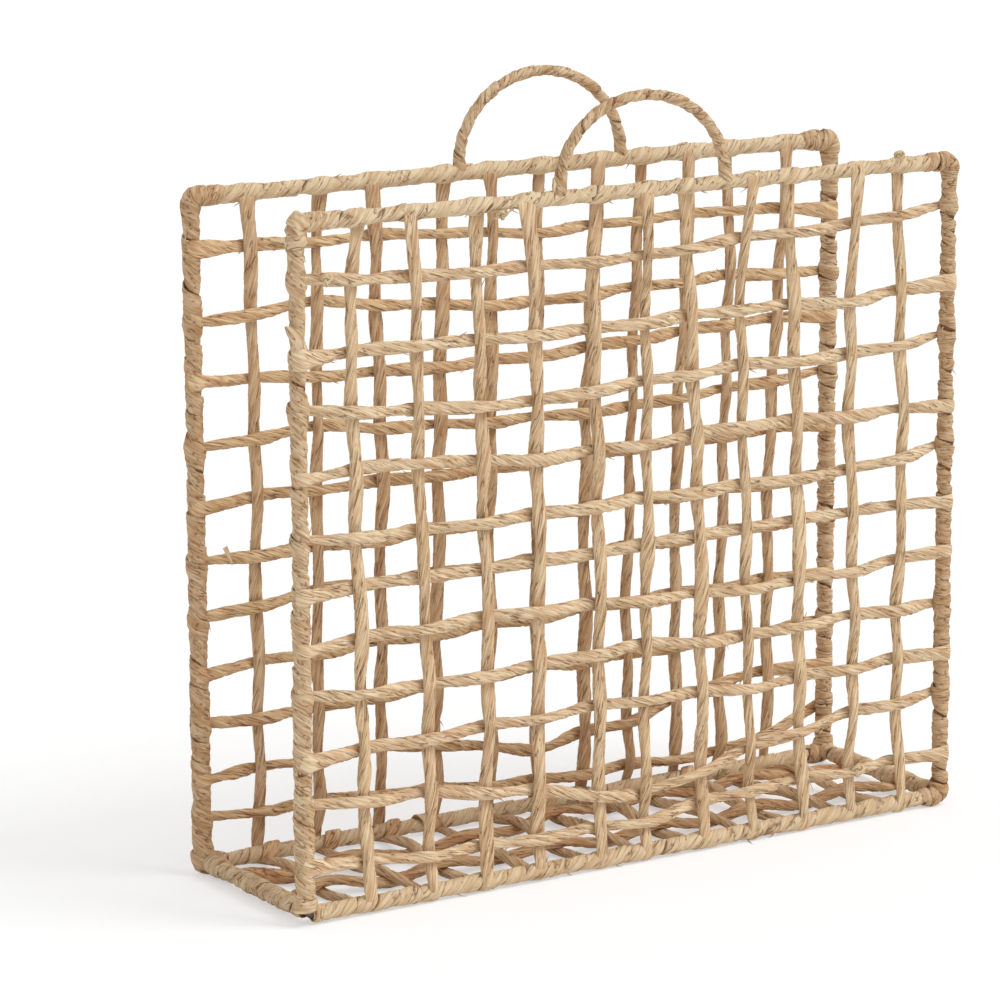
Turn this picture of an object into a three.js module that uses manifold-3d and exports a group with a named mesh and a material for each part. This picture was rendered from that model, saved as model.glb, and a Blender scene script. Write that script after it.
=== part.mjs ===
// Magazine basket: two open woven panels and an open woven base on a welded wire frame.
// Raffia strip is wound round every wire, and raffia cord is woven between the wires.
// Millimetres, +Z up. The origin lies on the floor under the middle of the basket,
// X runs along the width and Y from the front panel to the back panel.

import * as THREE from 'three';
import { mergeVertices } from 'three/addons/utils/BufferGeometryUtils.js';
import Module from 'manifold-3d';

const wasm = await Module();
wasm.setup();

// Frame: a rounded wire rectangle for each panel, centre to centre, and a wire at each base end
const frameWidth = 400;
const frameHeight = 349;
const frameDepth = 106;
const frameCornerRadius = 5.5;
const frameWireDiameter = 5;
const baseWireDiameter = 5;

// Handles: a low arch of thinner wire on each top rail; its rise is from wire to wire
const handleSpan = 101.5;
const frontHandleRise = 48.4;
const backHandleRise = 50.2;
const handleWireDiameter = 4;
const frontHandleShare = 0.508;
const backHandleShare = 0.525;

// Outer diameters of the strip wound round the wires
const railWrapDiameter = 7.6;
const postWrapDiameter = 8.2;
const baseWrapDiameter = 8.2;
const handleWrapDiameter = 6.2;

// The strip on a post goes round the corner and this far along the rail
const cornerWrapReach = 8;

// Woven cord: width in the plane of the weave, thickness through it
const warpWidth = 6.2;
const warpThickness = 4.4;
const weftWidth = 5.2;
const weftThickness = 3.8;

// Where a cord laps round a wound wire, it is pressed wide and flat
const lapThickness = 1.2;
const warpLapWidth = 9;
const weftLapWidth = 8;

// Gaps: between touching pieces, and between two cords where they cross
const clearance = 0.3;
const crossingGap = 0.8;

// The base stretch of a cord lies this far left of its foot on the front rail
const baseLean = 7;

// Smoothness
const wireSides = 8;
const wrapSides = 10;
const cornerSteps = 4;
const handleSteps = 16;

// A warp and a weft both bend, so their crossing is found in this many rounds
const crossingRounds = 4;

// Angles of a lap round a wire, from the wire's top towards the side that the cord passes
const topLapDegrees = [0, 45, 90];
const footLapDegrees = [67.5, 112.5, 157.5, 202.5];
const sideLapDegrees = [-22.5, 22.5];
const halfLapStep = THREE.MathUtils.degToRad(22.5);

// Places of the warps across the width, each row from the bottom rail to the top rail
const warpHeightShares = [0, 0.28, 0.58, 0.86, 1];
const frontWarpShares = [
  [0.092, 0.087, 0.080, 0.074, 0.087],
  [0.185, 0.184, 0.173, 0.170, 0.163],
  [0.265, 0.273, 0.266, 0.260, 0.259],
  [0.348, 0.349, 0.348, 0.344, 0.333],
  [0.442, 0.442, 0.440, 0.432, 0.438],
  [0.512, 0.514, 0.515, 0.514, 0.514],
  [0.605, 0.602, 0.594, 0.580, 0.573],
  [0.684, 0.677, 0.668, 0.660, 0.680],
  [0.767, 0.760, 0.754, 0.744, 0.735],
  [0.845, 0.853, 0.839, 0.841, 0.848],
  [0.929, 0.922, 0.929, 0.919, 0.915],
];
const backWarpShares = [
  [0.085, 0.087, 0.088, 0.085, 0.082],
  [0.175, 0.176, 0.179, 0.182, 0.188],
  [0.270, 0.274, 0.277, 0.270, 0.267],
  [0.356, 0.358, 0.365, 0.372, 0.375],
  [0.442, 0.443, 0.445, 0.450, 0.447],
  [0.515, 0.515, 0.517, 0.521, 0.524],
  [0.593, 0.595, 0.596, 0.610, 0.617],
  [0.667, 0.663, 0.670, 0.680, 0.687],
  [0.746, 0.744, 0.748, 0.762, 0.763],
  [0.817, 0.819, 0.825, 0.833, 0.826],
  [0.902, 0.899, 0.903, 0.921, 0.925],
];

// Heights of the wefts above the bottom rail, each row from the left post to the right post
const weftPlaceShares = [0, 0.167, 0.333, 0.5, 0.667, 0.833, 1];
const frontWeftShares = [
  [0.920, 0.907, 0.905, 0.901, 0.913, 0.917, 0.931],
  [0.809, 0.809, 0.804, 0.804, 0.808, 0.799, 0.814],
  [0.734, 0.716, 0.706, 0.715, 0.722, 0.719, 0.731],
  [0.638, 0.640, 0.623, 0.622, 0.629, 0.625, 0.622],
  [0.547, 0.540, 0.538, 0.540, 0.540, 0.539, 0.559],
  [0.469, 0.469, 0.466, 0.468, 0.472, 0.473, 0.472],
  [0.391, 0.395, 0.396, 0.387, 0.380, 0.381, 0.394],
  [0.320, 0.309, 0.312, 0.318, 0.305, 0.311, 0.308],
  [0.228, 0.230, 0.234, 0.236, 0.225, 0.229, 0.232],
  [0.159, 0.151, 0.126, 0.086, 0.126, 0.157, 0.166],
  [0.073, 0.054, 0.052, 0.046, 0.065, 0.065, 0.069],
];
const backWeftShares = [
  [0.925, 0.919, 0.917, 0.898, 0.901, 0.903, 0.888],
  [0.813, 0.829, 0.807, 0.791, 0.797, 0.799, 0.789],
  [0.730, 0.718, 0.709, 0.707, 0.715, 0.722, 0.722],
  [0.628, 0.642, 0.621, 0.612, 0.610, 0.620, 0.628],
  [0.543, 0.547, 0.544, 0.542, 0.544, 0.544, 0.544],
  [0.458, 0.460, 0.456, 0.459, 0.461, 0.458, 0.460],
  [0.372, 0.392, 0.393, 0.390, 0.387, 0.390, 0.390],
  [0.292, 0.296, 0.298, 0.298, 0.301, 0.301, 0.301],
  [0.212, 0.210, 0.215, 0.218, 0.215, 0.218, 0.221],
  [0.132, 0.131, 0.129, 0.089, 0.109, 0.149, 0.151],
  [0.068, 0.065, 0.054, 0.038, 0.034, 0.031, 0.076],
];

// Side of each weft at the first warp: 1 before it, -1 behind it, and then by turns; 0 behind all
const frontWeftStarts = [1, -1, 1, -1, 1, 0, -1, 1, -1, 1, -1];
const backWeftStarts = [-1, 1, -1, 1, -1, 1, 1, -1, 1, -1, 1];

// The two long base cords: places from front to back at the left bar, at each warp and at the
// right bar, and side of each at the first warp
const baseCordShares = [
  [0.30, 0.36, 0.31, 0.32, 0.33, 0.30, 0.30, 0.30, 0.30, 0.30, 0.30, 0.30, 0.30],
  [0.87, 0.62, 0.66, 0.64, 0.65, 0.72, 0.78, 0.78, 0.78, 0.78, 0.78, 0.78, 0.78],
];
const baseCordStarts = [1, -1];

// What follows from the sizes above
const railHeight = railWrapDiameter / 2 + clearance + lapThickness;
const weaveOffset = (warpThickness + weftThickness) / 4 + crossingGap / 2;
const cornerCentreX = frameWidth / 2 - frameCornerRadius;
const cornerWrapEnd = cornerCentreX - cornerWrapReach;
const cornerInset = frameCornerRadius * (1 - Math.SQRT1_2);
const baseBarX = frameWidth / 2 - cornerInset;
const handleFoot = frameWireDiameter / 2 + clearance;
const archFoot = railWrapDiameter / 2;
const warpIndices = frontWarpShares.map((row, index) => index);
const weftIndices = frontWeftShares.map((row, index) => index);

const xAxis = new THREE.Vector3(1, 0, 0);
const yAxis = new THREE.Vector3(0, 1, 0);
const zAxis = new THREE.Vector3(0, 0, 1);

const frontPanel = {
  name: 'front',
  y: -frameDepth / 2,
  outward: yAxis.clone().negate(),
  warpShares: frontWarpShares,
  weftShares: frontWeftShares,
  weftStarts: frontWeftStarts,
  handleX: (frontHandleShare - 0.5) * frameWidth,
  handleRise: frontHandleRise,
};
const backPanel = {
  name: 'back',
  y: frameDepth / 2,
  outward: yAxis,
  warpShares: backWarpShares,
  weftShares: backWeftShares,
  weftStarts: backWeftStarts,
  handleX: (backHandleShare - 0.5) * frameWidth,
  handleRise: backHandleRise,
};

// Finishes
const strawColor = 0xc9ab7e;
const cordColor = 0xc2a071;
const shadeCordColor = 0xb08a60;
const steelColor = 0x5b5552;

function raffia(color) {
  return new THREE.MeshStandardMaterial({ color, roughness: 0.85, metalness: 0 });
}

function steel() {
  return new THREE.MeshStandardMaterial({ color: steelColor, roughness: 0.45, metalness: 0.9 });
}

function part(name, geometry, material) {
  const mesh = new THREE.Mesh(geometry, material);
  mesh.name = name;
  return mesh;
}

// Value of a row of shares at a place between its columns
function valueAt(row, places, place) {
  const next = places.findIndex((edge, index) => index > 0 && edge >= place);
  const share = (place - places[next - 1]) / (places[next] - places[next - 1]);
  return THREE.MathUtils.lerp(row[next - 1], row[next], share);
}

function roundSection(radius, sides) {
  return Array.from({ length: sides }, (unused, side) => {
    const angle = (2 * Math.PI * side) / sides;
    return [radius * Math.cos(angle), radius * Math.sin(angle)];
  });
}

function cordSection(width, thickness) {
  return [
    [width / 2, 0],
    [width / 4, thickness / 2],
    [-width / 4, thickness / 2],
    [-width / 2, 0],
    [-width / 4, -thickness / 2],
    [width / 4, -thickness / 2],
  ];
}

// Carries one section along a path, mitred at the bends; the section's first axis stays put
function sweepRings(path, axis, sectionAt, closed) {
  const last = path.length - 1;
  const normals = path.map((point, index) => {
    const next = path[index === last ? 0 : index + 1];
    return new THREE.Vector3().crossVectors(axis, next.clone().sub(point)).normalize();
  });
  return path.map((point, index) => {
    const before = index === 0 && !closed ? normals[0] : normals[(index + last) % path.length];
    const after = index === last && !closed ? before : normals[index];
    const mitre = before.clone().add(after).normalize();
    mitre.divideScalar(mitre.dot(before));
    return sectionAt(index).map(([first, second]) => (
      point.clone().addScaledVector(axis, first).addScaledVector(mitre, second)
    ));
  });
}

function pushQuad(indices, a, b, c, d) {
  indices.push(a, b, c, a, c, d);
}

// Wall between neighbouring rings, facing out, or facing in for a bore
function pushWall(indices, start, ringCount, sides, closed, bore) {
  const spans = closed ? ringCount : ringCount - 1;
  for (let ring = 0; ring < spans; ring += 1) {
    const here = start + ring * sides;
    const there = start + ((ring + 1) % ringCount) * sides;
    for (let side = 0; side < sides; side += 1) {
      const next = (side + 1) % sides;
      const corners = [here + side, there + side, there + next, here + next];
      pushQuad(indices, ...(bore ? corners.reverse() : corners));
    }
  }
}

function geometryFrom(rings, indices) {
  const geometry = new THREE.BufferGeometry();
  const positions = rings.flat().flatMap((point) => point.toArray());
  geometry.setAttribute('position', new THREE.Float32BufferAttribute(positions, 3));
  geometry.setIndex(indices);
  geometry.computeVertexNormals();
  return geometry;
}

// Solid bar or cord: a wall and, unless it closes on itself, two flat ends
function solidSweep(path, axis, sectionAt, closed = false) {
  const rings = sweepRings(path, axis, sectionAt, closed);
  const sides = rings[0].length;
  const indices = [];
  pushWall(indices, 0, rings.length, sides, closed, false);
  const end = (rings.length - 1) * sides;
  for (let side = 1; side < sides - 1 && !closed; side += 1) {
    indices.push(0, side, side + 1);
    indices.push(end, end + side + 1, end + side);
  }
  return geometryFrom(rings, indices);
}

// Sleeve with an open bore
function sleeveSweep(path, axis, outerDiameter, boreDiameter) {
  const outer = roundSection(outerDiameter / 2, wrapSides);
  const bore = roundSection(boreDiameter / 2 / Math.cos(Math.PI / wrapSides), wrapSides);
  const outerRings = sweepRings(path, axis, () => outer, false);
  const boreRings = sweepRings(path, axis, () => bore, false);
  const inside = outerRings.length * wrapSides;
  const end = inside - wrapSides;
  const indices = [];
  pushWall(indices, 0, outerRings.length, wrapSides, false, false);
  pushWall(indices, inside, boreRings.length, wrapSides, false, true);
  for (let side = 0; side < wrapSides; side += 1) {
    const next = (side + 1) % wrapSides;
    pushQuad(indices, side, next, inside + next, inside + side);
    pushQuad(indices, end + side, inside + end + side, inside + end + next, end + next);
  }
  return geometryFrom([...outerRings, ...boreRings], indices);
}

function manifoldFrom(geometry) {
  const bare = geometry.clone();
  bare.deleteAttribute('normal');
  bare.deleteAttribute('uv');
  const merged = mergeVertices(bare);
  return new wasm.Manifold(new wasm.Mesh({
    numProp: 3,
    vertProperties: new Float32Array(merged.attributes.position.array),
    triVerts: new Uint32Array(merged.index.array),
  }));
}

// A body with round holes, each drilled from its place along its axis
function drilled(geometry, holes) {
  let body = manifoldFrom(geometry);
  for (const { place, axis, diameter, reach } of holes) {
    const drill = new THREE.CylinderGeometry(diameter / 2, diameter / 2, reach, wireSides);
    drill.translate(0, reach / 2, 0);
    drill.applyQuaternion(new THREE.Quaternion().setFromUnitVectors(yAxis, axis));
    drill.translate(place.x, place.y, place.z);
    body = body.subtract(manifoldFrom(drill));
  }
  const mesh = body.getMesh();
  const result = new THREE.BufferGeometry();
  result.setAttribute('position', new THREE.Float32BufferAttribute(mesh.vertProperties, 3));
  result.setIndex(Array.from(mesh.triVerts));
  result.computeVertexNormals();
  return result;
}

// Quarter bend of the frame round one of its corners, from one straight stretch to the next
function cornerBend(sideX, sideZ, fromDegrees, toDegrees) {
  const centreZ = sideZ > 0 ? frameHeight - frameCornerRadius : frameCornerRadius;
  return Array.from({ length: cornerSteps + 1 }, (unused, step) => {
    const degrees = THREE.MathUtils.lerp(fromDegrees, toDegrees, step / cornerSteps);
    const angle = THREE.MathUtils.degToRad(degrees);
    const x = sideX * (cornerCentreX + frameCornerRadius * Math.cos(angle));
    const z = centreZ + sideZ * frameCornerRadius * Math.sin(angle);
    return new THREE.Vector3(x, 0, z);
  });
}

function frameWire() {
  const path = [
    ...cornerBend(-1, -1, 0, 90),
    ...cornerBend(1, -1, 90, 0),
    ...cornerBend(1, 1, 0, 90),
    ...cornerBend(-1, 1, 90, 0),
  ];
  const section = roundSection(frameWireDiameter / 2, wireSides);
  return solidSweep(path, yAxis, () => section, true);
}

// Strip on a post and its two corner bends, open where the base wire meets the lower bend
function postWrap(sideX, panel) {
  const path = [
    new THREE.Vector3(sideX * cornerWrapEnd, 0, 0),
    ...cornerBend(sideX, -1, 90, 0),
    ...cornerBend(sideX, 1, 0, 90),
    new THREE.Vector3(sideX * cornerWrapEnd, 0, frameHeight),
  ];
  const boreDiameter = frameWireDiameter + 2 * clearance;
  const sleeve = sleeveSweep(path, yAxis, postWrapDiameter, boreDiameter);
  return drilled(sleeve, [{
    place: new THREE.Vector3(sideX * baseBarX, 0, cornerInset),
    axis: panel.outward.clone().negate(),
    diameter: baseWireDiameter + 2 * clearance,
    reach: postWrapDiameter,
  }]);
}

// Strip on a rail between the strips that come round the corners
function railWrap(z) {
  const end = cornerWrapEnd - clearance;
  const path = [new THREE.Vector3(-end, 0, z), new THREE.Vector3(end, 0, z)];
  return sleeveSweep(path, yAxis, railWrapDiameter, frameWireDiameter + 2 * clearance);
}

// The top rail's strip lets the two handle feet through to the wire
function topRailWrap(panel) {
  const holes = [-1, 1].map((side) => ({
    place: new THREE.Vector3(panel.handleX + side * handleSpan / 2, 0, frameHeight),
    axis: zAxis,
    diameter: handleWireDiameter + 2 * clearance,
    reach: railWrapDiameter,
  }));
  return drilled(railWrap(frameHeight), holes);
}

// Arch of a handle, from the surface of the strip on the rail
function handleArch(panel) {
  return Array.from({ length: handleSteps + 1 }, (unused, step) => {
    const angle = (Math.PI * step) / handleSteps;
    const x = panel.handleX - (handleSpan / 2) * Math.cos(angle);
    const z = frameHeight + archFoot + (panel.handleRise - archFoot) * Math.sin(angle);
    return new THREE.Vector3(x, 0, z);
  });
}

// The wire's feet run straight through the strip on the rail to the rail's wire
function handleWire(panel) {
  const arch = handleArch(panel);
  const feet = [arch[0], arch.at(-1)].map((point) => point.clone().setZ(frameHeight + handleFoot));
  const section = roundSection(handleWireDiameter / 2, wireSides);
  return solidSweep([feet[0], ...arch, feet[1]], yAxis, () => section);
}

// Strip on a handle, from just above the strip on the rail
function handleWrap(panel) {
  const path = handleArch(panel);
  const share = clearance / (path[1].z - path[0].z);
  path[0].lerp(path[1], share);
  path[handleSteps].lerp(path[handleSteps - 1], share);
  return sleeveSweep(path, yAxis, handleWrapDiameter, handleWireDiameter + 2 * clearance);
}

// Wire that joins the two frames at one end of the base
function baseWire(sideX) {
  const end = frameDepth / 2 - frameWireDiameter / 2 - clearance;
  const section = roundSection(baseWireDiameter / 2, wireSides);
  const ends = [-end, end].map((y) => new THREE.Vector3(sideX * baseBarX, y, cornerInset));
  return solidSweep(ends, xAxis, () => section);
}

function baseWrap(sideX) {
  const end = frameDepth / 2 - postWrapDiameter / 2 - clearance;
  const ends = [-end, end].map((y) => new THREE.Vector3(sideX * baseBarX, y, cornerInset));
  return sleeveSweep(ends, xAxis, baseWrapDiameter, baseWireDiameter + 2 * clearance);
}

// Where a warp and a weft of one panel cross
function crossing(panel, warp, weft) {
  let heightShare = panel.weftShares[weft][0];
  let widthShare = panel.warpShares[warp][0];
  for (let round = 0; round < crossingRounds; round += 1) {
    widthShare = valueAt(panel.warpShares[warp], warpHeightShares, heightShare);
    heightShare = valueAt(panel.weftShares[weft], weftPlaceShares, widthShare);
  }
  return { x: (widthShare - 0.5) * frameWidth, z: heightShare * frameHeight };
}

// 1 where the weft lies before the warp as seen from the front, -1 where it lies behind
function weftSide(panel, warp, weft) {
  const start = panel.weftStarts[weft];
  return start === 0 ? -1 : start * (warp % 2 === 0 ? 1 : -1);
}

// Points of a cord that laps round a wound wire, pressed flat
function lapPoints(centre, from, towards, wrapDiameter, degreesList) {
  const radius = (wrapDiameter / 2 + clearance + lapThickness / 2) / Math.cos(halfLapStep);
  return degreesList.map((degrees) => {
    const angle = THREE.MathUtils.degToRad(degrees);
    const point = centre.clone().addScaledVector(from, radius * Math.cos(angle));
    return { point: point.addScaledVector(towards, radius * Math.sin(angle)), lap: true };
  });
}

// One upright of a warp: over the top rail, through the wefts, round the bottom rail
function warpLeg(panel, warp) {
  const topX = (panel.warpShares[warp].at(-1) - 0.5) * frameWidth;
  const footX = (panel.warpShares[warp][0] - 0.5) * frameWidth;
  const topSide = yAxis.clone().multiplyScalar(weftSide(panel, warp, 0));
  const top = new THREE.Vector3(topX, panel.y, frameHeight);
  const foot = new THREE.Vector3(footX, panel.y, 0);
  const woven = weftIndices.map((weft) => {
    const { x, z } = crossing(panel, warp, weft);
    const y = panel.y + weftSide(panel, warp, weft) * weaveOffset;
    return { point: new THREE.Vector3(x, y, z), lap: false };
  });
  const lowest = woven.at(-1).point;
  if ((lowest.y - panel.y) * panel.outward.y < 0) {
    // It clears the lowest weft before it crosses to the outer side of the rail
    const below = lowest.clone().addScaledVector(zAxis, -weftWidth / 3);
    woven.push({ point: below, lap: false });
  }
  return [
    ...lapPoints(top, zAxis, topSide, railWrapDiameter, topLapDegrees),
    ...woven,
    ...lapPoints(foot, zAxis, panel.outward, railWrapDiameter, footLapDegrees),
  ];
}

// Where a warp crosses one of the long base cords, and which of the two lies on top
function baseCrossing(warp, cord) {
  const share = baseCordShares[cord][warp + 1];
  const frontX = (frontWarpShares[warp][0] - 0.5) * frameWidth - baseLean;
  const backX = (backWarpShares[warp][0] - 0.5) * frameWidth;
  const x = THREE.MathUtils.lerp(frontX, backX, share);
  const y = (share - 0.5) * frameDepth;
  const cordSide = baseCordStarts[cord] * (warp % 2 === 0 ? 1 : -1);
  return { x, y, cordSide };
}

// One long cord: down the front panel, across the base and up the back panel
function warpCord(warp) {
  const base = baseCordShares.map((shares, cord) => {
    const { x, y, cordSide } = baseCrossing(warp, cord);
    return { point: new THREE.Vector3(x, y, -cordSide * weaveOffset), lap: false };
  });
  const route = [...warpLeg(frontPanel, warp), ...base, ...warpLeg(backPanel, warp).reverse()];
  const cord = cordSection(warpWidth, warpThickness);
  const lap = cordSection(warpLapWidth, lapThickness);
  const path = route.map(({ point }) => point);
  return solidSweep(path, xAxis, (index) => (route[index].lap ? lap : cord));
}

// A cord that lies across the warps and laps the bars at its two ends
function acrossCord(woven, ends, widthAxis, wrapDiameter) {
  const route = [
    ...lapPoints(ends[0].centre, ends[0].side, xAxis, wrapDiameter, sideLapDegrees),
    ...woven.map((point) => ({ point, lap: false })),
    ...lapPoints(ends[1].centre, ends[1].side, xAxis, wrapDiameter, sideLapDegrees),
  ];
  const cord = cordSection(weftWidth, weftThickness);
  const lap = cordSection(weftLapWidth, lapThickness);
  const path = route.map(({ point }) => point);
  return solidSweep(path, widthAxis, (index) => (route[index].lap ? lap : cord));
}

// Weft of one panel, in the panel's own plane, past the posts on the side opposite its last warp
function weftCord(panel, weft) {
  const woven = warpIndices.map((warp) => {
    const { x, z } = crossing(panel, warp, weft);
    return new THREE.Vector3(x, -weftSide(panel, warp, weft) * weaveOffset, z);
  });
  const heights = [panel.weftShares[weft][0], panel.weftShares[weft].at(-1)];
  const ends = [-1, 1].map((sideX, end) => {
    const nearestWarp = end === 0 ? 0 : warpIndices.at(-1);
    const centre = new THREE.Vector3(sideX * frameWidth / 2, 0, heights[end] * frameHeight);
    return { centre, side: yAxis.clone().multiplyScalar(weftSide(panel, nearestWarp, weft)) };
  });
  return acrossCord(woven, ends, zAxis, postWrapDiameter);
}

// Long base cord, under the wound wire at each end of the base
function baseCord(cord) {
  const crossings = warpIndices.map((warp) => baseCrossing(warp, cord));
  const woven = crossings.map(({ x, y, cordSide }) => (
    new THREE.Vector3(x, y, cordSide * weaveOffset)
  ));
  const endShares = [baseCordShares[cord][0], baseCordShares[cord].at(-1)];
  const ends = [-1, 1].map((sideX, end) => {
    const y = (endShares[end] - 0.5) * frameDepth;
    return { centre: new THREE.Vector3(sideX * baseBarX, y, cornerInset), side: zAxis.clone().negate() };
  });
  return acrossCord(woven, ends, yAxis, baseWrapDiameter);
}

function numbered(stem, index) {
  return `${stem}_${String(index + 1).padStart(2, '0')}`;
}

// Wires, wound strip and wefts of one panel, in the plane of its frame
function buildPanel(panel, weftColor) {
  const group = new THREE.Group();
  group.position.y = panel.y;
  group.add(
    part(`${panel.name}_frame_wire`, frameWire(), steel()),
    part(`${panel.name}_handle_wire`, handleWire(panel), steel()),
    part(`${panel.name}_left_post_wrap`, postWrap(-1, panel), raffia(strawColor)),
    part(`${panel.name}_right_post_wrap`, postWrap(1, panel), raffia(strawColor)),
    part(`${panel.name}_top_rail_wrap`, topRailWrap(panel), raffia(strawColor)),
    part(`${panel.name}_bottom_rail_wrap`, railWrap(0), raffia(strawColor)),
    part(`${panel.name}_handle_wrap`, handleWrap(panel), raffia(strawColor)),
  );
  for (const weft of weftIndices) {
    group.add(part(numbered(`${panel.name}_weft`, weft), weftCord(panel, weft), raffia(weftColor)));
  }
  return group;
}

// Everything above is measured from the bottom rails, which stand on the laps of the warps
const frame = new THREE.Group();
frame.position.z = railHeight;
frame.add(buildPanel(frontPanel, cordColor), buildPanel(backPanel, shadeCordColor));
for (const [name, sideX] of [['left', -1], ['right', 1]]) {
  frame.add(part(`${name}_base_wire`, baseWire(sideX), steel()));
  frame.add(part(`${name}_base_wrap`, baseWrap(sideX), raffia(strawColor)));
}
for (const warp of warpIndices) {
  frame.add(part(numbered('warp', warp), warpCord(warp), raffia(cordColor)));
}
frame.add(part('front_base_cord', baseCord(0), raffia(shadeCordColor)));
frame.add(part('back_base_cord', baseCord(1), raffia(shadeCordColor)));

const basket = new THREE.Group();
basket.add(frame);

export default basket;
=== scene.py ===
import math
from functools import partial

import bpy
import numpy as np
from mathutils import Matrix, Vector


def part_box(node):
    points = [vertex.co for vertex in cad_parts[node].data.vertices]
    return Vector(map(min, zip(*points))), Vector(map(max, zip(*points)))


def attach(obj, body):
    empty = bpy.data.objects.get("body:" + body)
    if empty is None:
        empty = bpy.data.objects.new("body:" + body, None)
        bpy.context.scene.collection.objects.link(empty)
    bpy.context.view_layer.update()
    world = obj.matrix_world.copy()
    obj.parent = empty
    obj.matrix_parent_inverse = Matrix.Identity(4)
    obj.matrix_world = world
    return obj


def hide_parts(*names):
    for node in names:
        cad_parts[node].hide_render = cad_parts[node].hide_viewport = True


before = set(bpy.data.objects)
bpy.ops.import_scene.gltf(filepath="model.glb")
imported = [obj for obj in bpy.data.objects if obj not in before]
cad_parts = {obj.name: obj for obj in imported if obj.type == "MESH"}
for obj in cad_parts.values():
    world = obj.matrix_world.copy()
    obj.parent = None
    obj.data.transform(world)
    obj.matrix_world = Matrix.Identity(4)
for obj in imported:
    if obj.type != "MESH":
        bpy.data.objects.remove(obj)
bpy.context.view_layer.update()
mm = 0.001
fullTurn = 2 * math.pi

# Places of the frame, read from the wires of the CAD model
wireLow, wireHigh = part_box("front_frame_wire")
backLow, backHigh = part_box("back_frame_wire")
baseLow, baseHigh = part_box("left_base_wire")
wireRadius = (wireHigh.y - wireLow.y) / 2
basket = {
    "postX": wireHigh.x - wireRadius,
    "bottomZ": wireLow.z + wireRadius,
    "topZ": wireHigh.z - wireRadius,
    "frontY": (wireLow.y + wireHigh.y) / 2,
    "backY": (backLow.y + backHigh.y) / 2,
    "bendRadius": 3 * mm,  # the strip's middle turns the corner more sharply than the wire's
    "bendPoints": 9,
    "baseBarX": -(baseLow.x + baseHigh.x) / 2,
    "baseBarZ": (baseLow.z + baseHigh.z) / 2,
}
basketWidth = 2 * basket["postX"]
basketHeight = basket["topZ"] - basket["bottomZ"]
basketDepth = basket["backY"] - basket["frontY"]

# The cords' routes, as in the CAD source: places of the warps in thousandths of the width, each
# row from the bottom rail to the top rail
warpHeightShares = [0, 0.28, 0.58, 0.86, 1]
frontWarpShares = np.array([
    [92, 87, 80, 74, 87],
    [185, 184, 173, 170, 163],
    [265, 273, 266, 260, 259],
    [348, 349, 348, 344, 333],
    [442, 442, 440, 432, 438],
    [512, 514, 515, 514, 514],
    [605, 602, 594, 580, 573],
    [684, 677, 668, 660, 680],
    [767, 760, 754, 744, 735],
    [845, 853, 839, 841, 848],
    [929, 922, 929, 919, 915],
]) / 1000
backWarpShares = np.array([
    [85, 87, 88, 85, 82],
    [175, 176, 179, 182, 188],
    [270, 274, 277, 270, 267],
    [356, 358, 365, 372, 375],
    [442, 443, 445, 450, 447],
    [515, 515, 517, 521, 524],
    [593, 595, 596, 610, 617],
    [667, 663, 670, 680, 687],
    [746, 744, 748, 762, 763],
    [817, 819, 825, 833, 826],
    [902, 899, 903, 921, 925],
]) / 1000

# Heights of the wefts above the bottom rail, in thousandths of the height between the rails,
# each row from the left post to the right post
weftPlaceShares = [0, 0.167, 0.333, 0.5, 0.667, 0.833, 1]
frontWeftShares = np.array([
    [920, 907, 905, 901, 913, 917, 931],
    [809, 809, 804, 804, 808, 799, 814],
    [734, 716, 706, 715, 722, 719, 731],
    [638, 640, 623, 622, 629, 625, 622],
    [547, 540, 538, 540, 540, 539, 559],
    [469, 469, 466, 468, 472, 473, 472],
    [391, 395, 396, 387, 380, 381, 394],
    [320, 309, 312, 318, 305, 311, 308],
    [228, 230, 234, 236, 225, 229, 232],
    [159, 151, 126, 86, 126, 157, 166],
    [73, 54, 52, 46, 65, 65, 69],
]) / 1000
backWeftShares = np.array([
    [925, 919, 917, 898, 901, 903, 888],
    [813, 829, 807, 791, 797, 799, 789],
    [730, 718, 709, 707, 715, 722, 722],
    [628, 642, 621, 612, 610, 620, 628],
    [543, 547, 544, 542, 544, 544, 544],
    [458, 460, 456, 459, 461, 458, 460],
    [372, 392, 393, 390, 387, 390, 390],
    [292, 296, 298, 298, 301, 301, 301],
    [212, 210, 215, 218, 215, 218, 221],
    [132, 131, 129, 89, 109, 149, 151],
    [68, 65, 54, 38, 34, 31, 76],
]) / 1000


def handlePlace(node):
    low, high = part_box(node)
    radius = (high.y - low.y) / 2
    return {"x": (low.x + high.x) / 2, "half": (high.x - low.x) / 2 - radius, "top": high.z - radius}


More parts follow.
